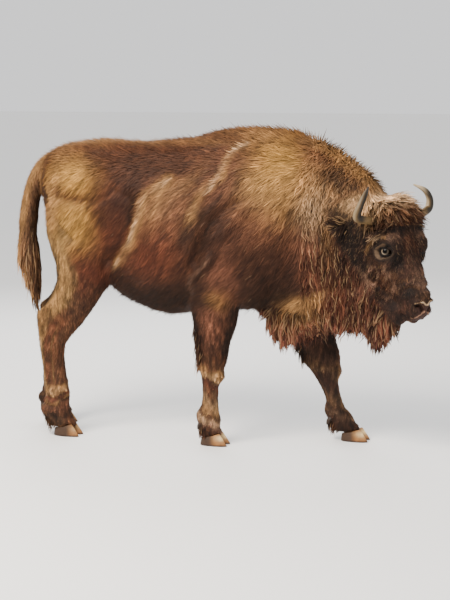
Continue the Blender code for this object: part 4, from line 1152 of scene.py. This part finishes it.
for number, (low, high) in enumerate(zip(cuts, cuts[1:])):
    spots = roots(int(s["count"] / s["pieces"] * few), density * (centres >= low) * (centres < high), 20 + number)
    style = {key: mixed(spots["shares"], s[key]) for key in ("length", "width", "rise")}
    style["length"] *= 1 + 0.35 * share(spots["shares"], "trunk") * shoulderShare(spots["place"])
    onLegs = share(spots["shares"], "fore") + share(spots["shares"], "hind")
    shorter = onLegs * fade(0.5 - spots["place"][:, 2], 0, 0.15)
    style["length"] *= 1 - 0.3 * shorter
    style["rise"] *= 1 - 0.35 * shorter
    down = toHead(spots["place"])[:, 0]
    style["length"] *= 1 - 0.32 * share(spots["shares"], "head") * fade(down, 0.02, 0.26)
    style["width"] *= 1 - 0.2 * share(spots["shares"], "head") * fade(down, 0.02, 0.26)
    top = fade(spots["normal"][:, 2], 0.3, 0.8) * fade(spots["place"][:, 2], 1.45, 1.6)
    under = fade(-spots["normal"][:, 2], 0.2, 0.7) * fade(spots["place"][:, 2], 0.6, 0.7)
    under = under * share(spots["shares"], "trunk")
    style["rise"] *= 1 + 0.9 * top + 1.0 * under
    onHead = share(spots["shares"], "head")
    around = np.minimum(*(eyeReach(side, spots["place"])[0] for side in (1, -1)))
    style["length"] *= 1 - 0.55 * onHead * fade(0.055 - around, 0, 0.025)
    style["fairShare"] = 0.003 + 0.06 * onHead
    style["fairAmount"] = 0.22
    style["tintSpread"] = 0.2 + 0.25 * onHead + 0.15 * shorter
    style["lie"] = lieAt(spots["place"], spots["normal"], spots["shares"])
    style["soft"] = (0.75 - 0.35 * onHead)[:, None, None]
    style["thickness"] = 0.45
    growCoat(f"shortCoat{number + 1}", spike, spots, style)

# fine hair and lashes on the lids
lidHair = {
    "count": 1500, "length": 0.0085, "width": 0.002, "lashes": 64, "lashLength": 0.017, "lashWidth": 0.0014,
    "jitter": 0.0012, "from": 0.0105, "to": 0.034,  # distance from the opening's edge
    "lashFrom": 0.0005, "lashTo": 0.003,
}
vertexUnwrap = np.zeros((len(points), 2))
vertexUnwrap[[loop.vertex_index for loop in skin.data.loops]] = unwrap
for piece, side, tints in zip(lids, (1, -1), lidColours):
    h = lidHair
    middle, gaze, corner, up = eyeFrame(side)
    place, normal = pointsOf(piece.data), pointsOf(piece.data, "normal")
    beyond, height, angle = eyeReach(side, place)
    toss = np.random.default_rng(70 + side)
    usable = np.where((beyond > h["from"]) & (beyond < h["to"]))[0]
    chosen = toss.choice(usable, int(h["count"] * few))
    jitter = toss.normal(0, h["jitter"], (len(chosen), 3))
    rim = np.where((beyond > h["lashFrom"]) & (beyond < h["lashTo"]) & (np.sin(angle) > 0.25))[0]
    lashes = toss.choice(rim, h["lashes"])
    around = np.where(np.linalg.norm(points - middle, axis=1) < 0.09)[0]
    for what, at, shape in (("Hair", chosen, spike), ("Lashes", lashes, lock)):
        normal1 = unit(normal[at])
        nearest = around[nearestOf(place[at], points[around])]
        spots = {"place": place[at], "normal": normal1, "toss": toss, "shares": shares[nearest],
                 "unwrap": vertexUnwrap[nearest]}
        way = np.cos(angle[at])[:, None] * corner + np.sin(angle[at])[:, None] * up
        if what == "Hair":
            spots["place"] = spots["place"] + jitter - normal1 * (jitter * normal1).sum(1, keepdims=True)
            lie = way * 0.5 - up * 0.5 - corner * 0.5
            style = {"length": h["length"], "width": h["width"], "rise": 14, "thickness": 0.4, "fairShare": 0.0,
                     "tints": tints[at] * 1.3, "tintSpread": 0.3}
        else:
            lie = way - corner * 0.25 + gaze * 0.6
            style = {"length": h["lashLength"], "width": h["lashWidth"], "rise": 28, "thickness": 0.8, "fairShare": 0.0,
                     "tints": np.tile(fur["black"] * 0.5, (len(at), 1)), "hang": 0.45, "sink": 0.0005}
        style["lie"] = unit(alongSkin(lie, normal1))
        growCoat(piece.name + what, shape, spots, style)

# long locks: mane, forelock, fringe, beard, tail
longCoat = {
    "neckMane": {
        "regions": {"neck": 1.0, "chest": 0.3}, "count": 5600, "length": 0.075, "width": 0.0066,
        "rise": 22, "hang": 0.35, "wave": 0.0058, "turns": 1.5, "clump": 0.7, "clumpOf": 9, "fairShare": 0.18,
    },
    "chestFringe": {
        "regions": {"chest": 1.0}, "count": 3800, "length": 0.09, "width": 0.0085,
        "rise": 35, "hang": 0.75, "wave": 0.005, "turns": 0.9, "clump": 0.9, "clumpOf": 24, "fairShare": 0.32,
        "tip": ("fringe", 0.7),
    },
    "beardHair": {
        "regions": {"beard": 1.0}, "count": 3000, "length": 0.075, "width": 0.0085,
        "rise": 35, "hang": 0.8, "wave": 0.005, "turns": 0.9, "clump": 0.9, "clumpOf": 24, "fairShare": 0.22,
        "tip": ("fringe", 0.35),
    },
    "forelock": {
        "regions": {"head": 1.0}, "count": 3600, "length": 0.085, "width": 0.0062,
        "rise": 16, "hang": 0.0, "wave": 0.004, "turns": 0.8, "clump": 0.7, "clumpOf": 10, "fairShare": 0.1,
        "tip": ("dark", 0.32),
    },
    "hornHair": {
        "regions": {"head": 1.0}, "count": 1300, "length": 0.055, "width": 0.0055,
        "rise": 30, "hang": 0.15, "wave": 0.005, "turns": 1.2, "clump": 0.5, "clumpOf": 6, "fairShare": 0.1,
    },
    "faceCurls": {
        "regions": {"head": 1.0}, "count": 3200, "length": 0.026, "width": 0.0031,
        "rise": 26, "hang": 0.1, "wave": 0.0035, "turns": 1.3, "clump": 0.4, "clumpOf": 5, "fairShare": 0.12,
    },
    "earHair": {
        "regions": {"ear": 1.0}, "count": 800, "length": 0.06, "width": 0.006,
        "rise": 22, "hang": 0.1, "wave": 0.004, "turns": 1.0, "clump": 0.5, "clumpOf": 6, "fairShare": 0.2,
    },
    "heelHair": {
        "regions": {"fore": 1.0, "hind": 1.0}, "count": 700, "length": 0.042, "width": 0.0042,
        "rise": 24, "hang": 0.55, "wave": 0.003, "turns": 0.8, "clump": 0.6, "clumpOf": 8, "fairShare": 0.05,
    },
    "forearmHair": {
        "regions": {"fore": 1.0}, "count": 600, "length": 0.055, "width": 0.005,
        "rise": 26, "hang": 0.6, "wave": 0.003, "turns": 0.8, "clump": 0.7, "clumpOf": 9, "fairShare": 0.05,
    },
    "tailHair": {
        "regions": {"tuft": 1.0}, "count": 1100, "length": 0.1, "width": 0.0075,
        "rise": 9, "hang": 0.9, "wave": 0.003, "turns": 0.8, "clump": 0.7, "clumpOf": 12, "fairShare": 0.14,
    },
}
fringeEdge = (  # where the fringe ends: distance forward, height
    (0.12, 0.2, 0.232, 0.261, 0.29, 0.32, 0.36, 0.43, 0.48, 0.526, 0.6, 0.65, 0.69, 0.755, 0.82, 0.862,
     0.884, 0.91, 0.935, 0.985, 1.012, 1.035),
    (0.757, 0.738, 0.717, 0.678, 0.605, 0.548, 0.56, 0.588, 0.632, 0.69, 0.7, 0.69, 0.665, 0.668, 0.682, 0.672,
     0.61, 0.561, 0.575, 0.6, 0.635, 0.69),
)
hornFlow = headTurn @ np.array((0.05, 1.0, -0.1)), headTurn @ np.array((0.05, -1.0, -0.1))
for number, (name, s) in enumerate(longCoat.items()):
    weight = mixed(shares, {region: s["regions"].get(region, 0.0) for region in regions})
    if name == "forelock":
        weight = weight * fade(mopShare(head), 0.3, 0.8)
    if name == "hornHair":
        near = lineDistance(onLeft(head), hornRoot)
        weight = weight * fade(0.085 - near, 0, 0.03) * fade(near, 0.021, 0.028)
    if name == "faceCurls":
        weight = weight * fade(0.24 - head[:, 0], 0, 0.05) * (1 - fade(mopShare(head), 0.2, 0.6)) * eyeClear(points)
        weight = weight * (0.25 + fade(-head[:, 2], -0.02, 0.06))
    if name == "heelHair":
        weight = weight * fade(points[:, 2], 0.055, 0.07) * fade(0.15 - points[:, 2], 0, 0.04)
        weight = weight * fade(-skinNormals[:, 0], 0.0, 0.5)
    if name == "forearmHair":
        weight = weight * fade(points[:, 2], 0.42, 0.5) * fade(0.72 - points[:, 2], 0, 0.08)
        weight = weight * fade(-skinNormals[:, 0], 0.3, 0.7)
    if name == "chestFringe":
        weight = weight * (0.25 + fade(-skinNormals[:, 2], -0.3, 0.5))
    density = weight[triangles].mean(1) * fade(weight[triangles].min(1), 0.05, 0.4)
    spots = roots(int(s["count"] * few), density, 50 + number)
    style = {key: s[key] for key in ("hang", "wave", "turns", "clump", "clumpOf", "fairShare")}
    count = len(spots["place"])
    for key in ("length", "width", "rise"):
        style[key] = np.full(count, float(s[key]))
    lie = lieAt(spots["place"], spots["normal"], spots["shares"])
    spotHead = toHead(spots["place"])
    if name == "forelock":
        low = fade(spotHead[:, 0], -0.21, -0.13)
        style["length"] *= 1 - 0.62 * low - 0.25 * fade(spotHead[:, 1], 0.1, 0.18)
        style["rise"] = style["rise"] * (1 - 0.5 * low)
    if name == "hornHair":
        flow = np.where(spotHead[:, 1:2] > 0, hornFlow[0], hornFlow[1])
        lie = lie * 0.4 + flow
        lie = unit(alongSkin(lie, spots["normal"]))
    if name == "earHair":
        upward = fade(spotHead[:, 0], -0.2, -0.225)[:, None]
        lie = lie + (headTurn @ np.array((-1.0, 0.0, 0.0))) * upward + np.array((0.0, 0.0, -1.0)) * (1 - upward)
        lie = unit(alongSkin(lie, spots["normal"]))
    style["lie"] = lie
    if name == "neckMane":
        crest = fade(spots["normal"][:, 2], 0.25, 0.7)
        style["rise"] *= 1 - 0.7 * crest
        style["length"] *= 1 - 0.52 * crest
    style["thickness"] = 0.5
    style["swell"] = 0.5
    style["soft"] = 0.35
    style["fairAmount"] = 0.2 if name == "faceCurls" else 0.4
    style["tintSpread"] = 0.22
    # painted shade at the roots of the locks and painted light at their tips
    style["shade"] = (0.32, 1.42)
    style["clumpTone"] = 0.4
    style["tip"] = s.get("tip")
    if name in ("chestFringe", "beardHair"):
        style["lowest"] = fringeEdge
    growCoat(name, lock, spots, style)

# eyes
for name, side in (("eye_left", 1), ("eye_right", -1)):
    middle, gaze, corner, up = eyeFrame(side)
    deselectAll()
    bpy.ops.mesh.primitive_uv_sphere_add(segments=48, ring_count=32, radius=eyeSettings["radius"])
    ball = bpy.context.object
    ball.name = name.replace("eye_", "eyeball_")
    local = pointsOf(ball.data)
    off = np.arccos(np.clip(local[:, 2] / eyeSettings["radius"], -1, 1))
    crescent = fade(-local[:, 0] * 0.75 - local[:, 1] * 0.65, 0.0, 0.012)  # light gathers opposite the lamp
    bulge = 1 + eyeSettings["bulge"] * fade(eyeSettings["bulgeReach"] - off, 0, 0.5)
    turned = local[:, :1] * corner + local[:, 1:2] * up + local[:, 2:3] * gaze
    movePoints(ball.data, middle + turned * bulge[:, None])
    angle = np.arctan2(local[:, 1], local[:, 0])
    setColours(ball.data, "look", np.stack([off, angle / 6.2832 + 0.5, crescent], 1))
    smoothFaces(ball.data)
    faceOutward(ball)
    # eyeball: wet cornea over a pale grey-brown iris with a dark rim, in a dark eye
    eyeMaterial, tree, shader = newMaterial(name + "_wet", {"Roughness": 0.1, "Specular IOR Level": 0.14, "IOR": 1.38})
    look = addNode(tree, "ShaderNodeAttribute", {"attribute_name": "look"})
    parts = addNode(tree, "ShaderNodeSeparateColor", {}, {"Color": look.outputs["Color"]})
    ramp = addNode(tree, "ShaderNodeValToRGB", {"stops": eyeSettings["colours"]}, {"Fac": parts.outputs["Red"]})
    fibres = addNode(tree, "ShaderNodeTexNoise", {"noise_dimensions": "1D", "Scale": 1.0, "Detail": 2.0, "W": 0.0})
    rays = addNode(tree, "ShaderNodeMath", {"operation": "MULTIPLY", 1: 60.0}, {0: parts.outputs["Green"]})
    tree.links.new(rays.outputs[0], fibres.inputs["W"])
    rayShade = addNode(tree, "ShaderNodeMapRange", {"To Min": 0.65, "To Max": 1.25}, {"Value": fibres.outputs["Fac"]})
    gathered = addNode(tree, "ShaderNodeMapRange", {"To Min": 0.25, "To Max": 1.05}, {"Value": parts.outputs["Blue"]})
    irisShade = addNode(tree, "ShaderNodeMath", {"operation": "MULTIPLY"},
                        {0: rayShade.outputs["Result"], 1: gathered.outputs["Result"]})
    eyeTint = addNode(tree, "ShaderNodeVectorMath", {"operation": "SCALE"},
                      {"Vector": ramp.outputs["Color"], "Scale": irisShade.outputs[0]})
    tree.links.new(eyeTint.outputs["Vector"], shader.inputs["Base Color"])
    ball.data.materials.append(eyeMaterial)
    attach(ball, "root")
    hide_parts(name)
print("eyes made")

# horns
hornSettings = {
    "sides": 32, "rings": 70, "ridgeHeight": 0.0011, "ridgeGap": 0.0095, "depth": 0.94,  # depth in parts of the width
    "colours": (  # part of the length from the root, colour
        (0.0, "#2a2016"), (0.16, "#45351f"), (0.36, "#5c4729"), (0.6, "#4a3923"), (0.85, "#3a2d1d"), (1.0, "#251c13"),
    ),
    # painted highlight and painted shade laid along the sides of the horns; the pale colour also serves the left horn's
    # pale tip
    "paleEdge": "#b5a283", "darkEdge": "#1c1812",
    "darkFrom": {"horn_left": (-0.1, 0.5), "horn_right": (-0.15, 0.4)},  # facing left, where dark begins and is full
    "paleUntil": {"horn_left": 1.3, "horn_right": 0.97}, "paleAmount": {"horn_left": 0.75, "horn_right": 0.25},
}
hornRows = {  # down the face, out, forward, radius
    "horn_left": (
        (-0.15, 0.09, 0.034, 0.019), (-0.162, 0.158, 0.046, 0.0198), (-0.184, 0.219, 0.041, 0.0222),
        (-0.206, 0.257, 0.047, 0.023), (-0.245, 0.256, 0.077, 0.0188), (-0.286, 0.22, 0.1, 0.0145),
        (-0.327, 0.162, 0.094, 0.004),
    ),
    "horn_right": (
        (-0.15, 0.09, 0.034, 0.019), (-0.158, 0.158, 0.043, 0.0195), (-0.177, 0.225, 0.034, 0.0215),
        (-0.196, 0.261, 0.0405, 0.0225), (-0.241, 0.2464, 0.083, 0.0185), (-0.2836, 0.214, 0.104, 0.0145),
        (-0.332, 0.1614, 0.096, 0.004),
    ),
}
# horn: keratin sheath, satin from wear, ridged near the root, dark at the tip, with painted shade along one side and a
# painted highlight along the other
hornMaterial, tree, shader = newMaterial("hornKeratin", {"Roughness": 0.5, "Specular IOR Level": 0.18, "IOR": 1.55})
look = addNode(tree, "ShaderNodeAttribute", {"attribute_name": "look"})
parts = addNode(tree, "ShaderNodeSeparateColor", {}, {"Color": look.outputs["Color"]})
place = addNode(tree, "ShaderNodeTexCoord", {})
ramp = addNode(tree, "ShaderNodeValToRGB", {"stops": hornSettings["colours"]}, {"Fac": parts.outputs["Red"]})
fibre = addNode(tree, "ShaderNodeTexNoise", {"Scale": 90.0, "Detail": 5.0, "Distortion": 0.4},
                {"Vector": place.outputs["Object"]})
# painted shade and painted highlight: one mix darkens a side of the horn, the other lightens the opposite side and the
# left horn's tip
edge = addNode(tree, "ShaderNodeMix", {"data_type": "RGBA"}, {"Factor": parts.outputs["Green"]})
paleMix = addNode(tree, "ShaderNodeMix", {"data_type": "RGBA"}, {"Factor": parts.outputs["Blue"]})
tree.links.new(unevenColour(tree, ramp.outputs["Color"], fibre, 0.6, 1.35), paleMix.inputs["A"])
paleMix.inputs["B"].default_value = (*linear(hornSettings["paleEdge"]), 1.0)
tree.links.new(paleMix.outputs["Result"], edge.inputs["A"])
edge.inputs["B"].default_value = (*linear(hornSettings["darkEdge"]), 1.0)
tree.links.new(edge.outputs["Result"], shader.inputs["Base Color"])
scratch = addNode(tree, "ShaderNodeBump", {"Strength": 0.35, "Distance": 0.001}, {"Height": fibre.outputs["Fac"]})
tree.links.new(scratch.outputs["Normal"], shader.inputs["Normal"])

for name, side in (("horn_left", 1), ("horn_right", -1)):
    h = hornSettings
    deselectAll()
    bpy.ops.mesh.primitive_cylinder_add(
        vertices=h["sides"], radius=1.0, depth=1.0, location=(0, 0, 0.5), end_fill_type="TRIFAN",
    )
    horn = bpy.context.object
    horn.name = name.replace("_", "Shell_")
    bpy.ops.object.transform_apply(location=True, rotation=False, scale=False)
    bpy.ops.object.mode_set(mode="EDIT")
    for ring in range(1, h["rings"]):
        bpy.ops.mesh.select_all(action="SELECT")
        bpy.ops.mesh.bisect(plane_co=(0, 0, ring / h["rings"]), plane_no=(0, 0, 1))
    bpy.ops.object.mode_set(mode="OBJECT")
    flat = pointsOf(horn.data)
    rows = smoothLine(hornRows[name], 24)
    rows[:, 1] *= side
    gaps = np.concatenate([[0], np.cumsum(np.linalg.norm(np.diff(rows[:, :3], axis=0), axis=1))])
    at = flat[:, 2] * gaps[-1]
    centre = np.stack([np.interp(at, gaps, rows[:, i]) for i in range(3)], 1)
    radius = np.interp(at, gaps, rows[:, 3])
    ahead = np.stack([np.interp(at + 0.004, gaps, rows[:, i]) for i in range(3)], 1)
    behind = np.stack([np.interp(at - 0.004, gaps, rows[:, i]) for i in range(3)], 1)
    along = unit(ahead - behind)
    flatSide = unit(np.cross(along, np.array((0.9, 0.0, 0.45)) + np.zeros_like(along)))
    other = np.cross(along, flatSide)
    part = flat[:, 2]
    turn = np.arctan2(flat[:, 1], flat[:, 0])
    ridges = h["ridgeHeight"] * np.sin(at / h["ridgeGap"] * 2 * math.pi + 0.6 * np.sin(turn * 2))
    ridges = ridges * fade(0.55 - part, 0, 0.35)
    ridges += 0.0005 * np.sin(turn * 9 + 3 * np.sin(part * 9)) * fade(0.8 - part, 0, 0.5)
    radius = np.maximum(radius + ridges, 0.0008)
    placed = centre + (flatSide * flat[:, :1] + other * flat[:, 1:2] * h["depth"]) * radius[:, None]
    movePoints(horn.data, fromHead(placed))
    facing = unit(flatSide * flat[:, :1] + other * flat[:, 1:2])
    leftward = facing @ unit(np.array((0.315, 0.801, 0.509)))  # both horns are dark along the front of their left
    # painted shade along the front of each horn's left, the side turned from the light, and painted highlight along the
    # side facing the light
    darkEdge = fade(leftward, *h["darkFrom"][name]) * fade(part, 0.3, 0.42) * 0.92
    paleEdge = fade(-leftward, 0.0, 0.75) * fade(part, 0.26, 0.36) * fade(h["paleUntil"][name] - part, 0, 0.12)
    paleEdge *= h["paleAmount"][name]
    if side > 0:  # the left horn is pale towards its tip
        paleTip = fade(part, 0.7, 0.92)
        darkEdge, paleEdge = darkEdge * (1 - paleTip), np.maximum(paleEdge, 0.85 * paleTip)
    setColours(horn.data, "look", np.stack([part, darkEdge, paleEdge], 1))
    faceOutward(horn)
    smoothFaces(horn.data)
    horn.data.materials.append(hornMaterial)
    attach(horn, "root")
    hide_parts(name)
print("horns made")

# hooves
hoofSettings = {
    "bevel": 0.0035,
    "clawStretch": 1.22,  # the soft heel reaches further back than the horn
    "dewclawShift": 0.012,  # forward, on the hind legs
    "heel": {"fore": 0.66, "hind": 0.84},  # where the dark heel ends, in parts of the length from the back
}
# hoof: keratin, golden brown, banded as it grows, with a painted highlight high on its front, and dark at the heel and
# the sole's edge
hoofMaterial, tree, shader = newMaterial("hoofKeratin", {"Roughness": 0.5, "Specular IOR Level": 0.3, "IOR": 1.54})
place = addNode(tree, "ShaderNodeTexCoord", {})
tint = addNode(tree, "ShaderNodeAttribute", {"attribute_name": "tint"})
cloud = addNode(tree, "ShaderNodeTexNoise", {"Scale": 60.0, "Detail": 5.0, "Distortion": 0.5},
                {"Vector": place.outputs["Object"]})
tree.links.new(unevenColour(tree, tint.outputs["Color"], cloud, 0.6, 1.35), shader.inputs["Base Color"])
hoofTints = {
    "horn": linear("#8a5c30"), "cream": linear("#e6c890"), "heel": linear("#22150c"), "edge": linear("#2d1b0f"),
    "dewclaw": linear("#2b1c12"),
}
lines = addNode(tree, "ShaderNodeMapping", {"Scale": (40.0, 40.0, 420.0)}, {"Vector": place.outputs["Object"]})
growth = addNode(tree, "ShaderNodeTexNoise", {"Scale": 1.0, "Detail": 3.0}, {"Vector": lines.outputs["Vector"]})
bump = addNode(tree, "ShaderNodeBump", {"Strength": 0.9, "Distance": 0.002}, {"Height": growth.outputs["Fac"]})
tree.links.new(bump.outputs["Normal"], shader.inputs["Normal"])

for leg in legNames:
    for kind in ("claw", "dewclaw"):
        for word in ("left", "right"):
            name = f"{leg}_{kind}_{word}"
            hoof = copyNode(name)
            hoof.name = name.replace("_claw", "_hoof").replace("_dewclaw", "_dewhoof")
            hoof.data.materials.clear()
            pick(hoof)
            bpy.ops.object.mode_set(mode="EDIT")
            bpy.ops.mesh.select_all(action="SELECT")
            bpy.ops.mesh.remove_doubles(threshold=skinSettings["weld"])
            bpy.ops.mesh.tris_convert_to_quads()
            bpy.ops.object.mode_set(mode="OBJECT")
            useModifier(hoof, "BEVEL", {
                "width": hoofSettings["bevel"], "segments": 2, "limit_method": "ANGLE", "angle_limit": 0.9,
            })
            useModifier(hoof, "SUBSURF", {"levels": 2, "render_levels": 2})
            smoothFaces(hoof.data)
            place = pointsOf(hoof.data)
            if kind == "claw":
                front = place[:, 0].max()
                place[:, 0] = front - (front - place[:, 0]) * hoofSettings["clawStretch"]
                movePoints(hoof.data, place)
            elif leg.startswith("hind"):
                movePoints(hoof.data, place + (hoofSettings["dewclawShift"], 0, 0))
            toe, _, tall = ((place - place.min(0)) / np.ptp(place, axis=0)).T
            tints = np.tile(hoofTints["horn" if kind == "claw" else "dewclaw"], (len(place), 1))
            heel = hoofSettings["heel"][leg[:4]]
            if kind == "claw":
                for shade, amount in (
                    ("heel", 0.9 * fade(heel - toe, 0, 0.3)),
                    # painted highlight high on the front of the hoof
                    ("cream", 0.95 * np.exp(-((tall - 0.68) / 0.2) ** 2 - ((toe - heel - 0.18) / 0.2) ** 2)),
                    ("edge", 0.9 * fade(0.24 - tall, 0, 0.2)),
                ):
                    tints = tints + amount[:, None] * (hoofTints[shade] - tints)
            setColours(hoof.data, "tint", tints)
            hoof.data.materials.append(hoofMaterial)
            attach(hoof, "root")
            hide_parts(name)
print("hooves made")

# floor, light and camera
studio = {
    "floorSize": 160, "floor": "#f4f3f1", "sky": "#fbfbfc", "skyStrength": 1.15,
    "lens": 95.4, "azimuth": 16, "elevation": 8, "distance": 9.0,  # of the camera: mm, degrees, degrees, metres
    "aimBack": 1.047, "aimHeight": 0.802,  # where it looks: behind the head's origin, and how high
    "lamps": (  # name, place, aim, size, power, colour
        ("keyLight", (-1.8, -4.0, 5.2), (0.0, 0.0, 1.0), (3.4, 2.8), 800, "#fff6ea"),
        ("fillLight", (5.0, -3.5, 2.4), (0.6, 0.0, 1.0), (3.0, 3.0), 60, "#eef3ff"),
        ("rimLight", (-2.5, 4.5, 4.0), (0.0, 0.0, 1.2), (3.0, 2.0), 200, "#ffffff"),
    ),
}
deselectAll()
bpy.ops.mesh.primitive_plane_add(size=studio["floorSize"], location=(0, 0, 0))
floor = bpy.context.object
floor.name = "floor"
floorMaterial = newMaterial("paleFloor", {"Base Color": (*linear(studio["floor"]), 1.0), "Roughness": 0.9})[0]
floor.data.materials.append(floorMaterial)

world = bpy.data.worlds.new("studio")
bpy.context.scene.world = world
world.use_nodes = True
sky = world.node_tree.nodes["Background"]
sky.inputs["Color"].default_value = (*linear(studio["sky"]), 1.0)
sky.inputs["Strength"].default_value = studio["skyStrength"]


def softLight(name, place, aim, size, power, colour):
    data = bpy.data.lights.new(name, "AREA")
    data.shape = "RECTANGLE"
    data.size, data.size_y = size
    data.energy = power
    data.color = linear(colour)
    lamp = bpy.data.objects.new(name, data)
    lamp.location = place
    lamp.rotation_euler = (Vector(aim) - Vector(place)).to_track_quat("-Z", "Y").to_euler()
    bpy.context.scene.collection.objects.link(lamp)


for lamp in studio["lamps"]:
    softLight(*lamp)

cameraData = bpy.data.cameras.new("camera")
cameraData.sensor_fit = "VERTICAL"
cameraData.sensor_height = 36
cameraData.lens = studio["lens"]
camera = bpy.data.objects.new("camera", cameraData)
azimuth, elevation = math.radians(studio["azimuth"]), math.radians(studio["elevation"])
target = Vector((headOrigin[0] - studio["aimBack"], middleLine, studio["aimHeight"]))
back = Vector((math.sin(azimuth) * math.cos(elevation), -math.cos(azimuth) * math.cos(elevation), math.sin(elevation)))
camera.location = target + back * studio["distance"]
camera.rotation_euler = back.to_track_quat("Z", "Y").to_euler()
bpy.context.scene.collection.objects.link(camera)
bpy.context.scene.camera = camera
print("floor, lights and camera set")
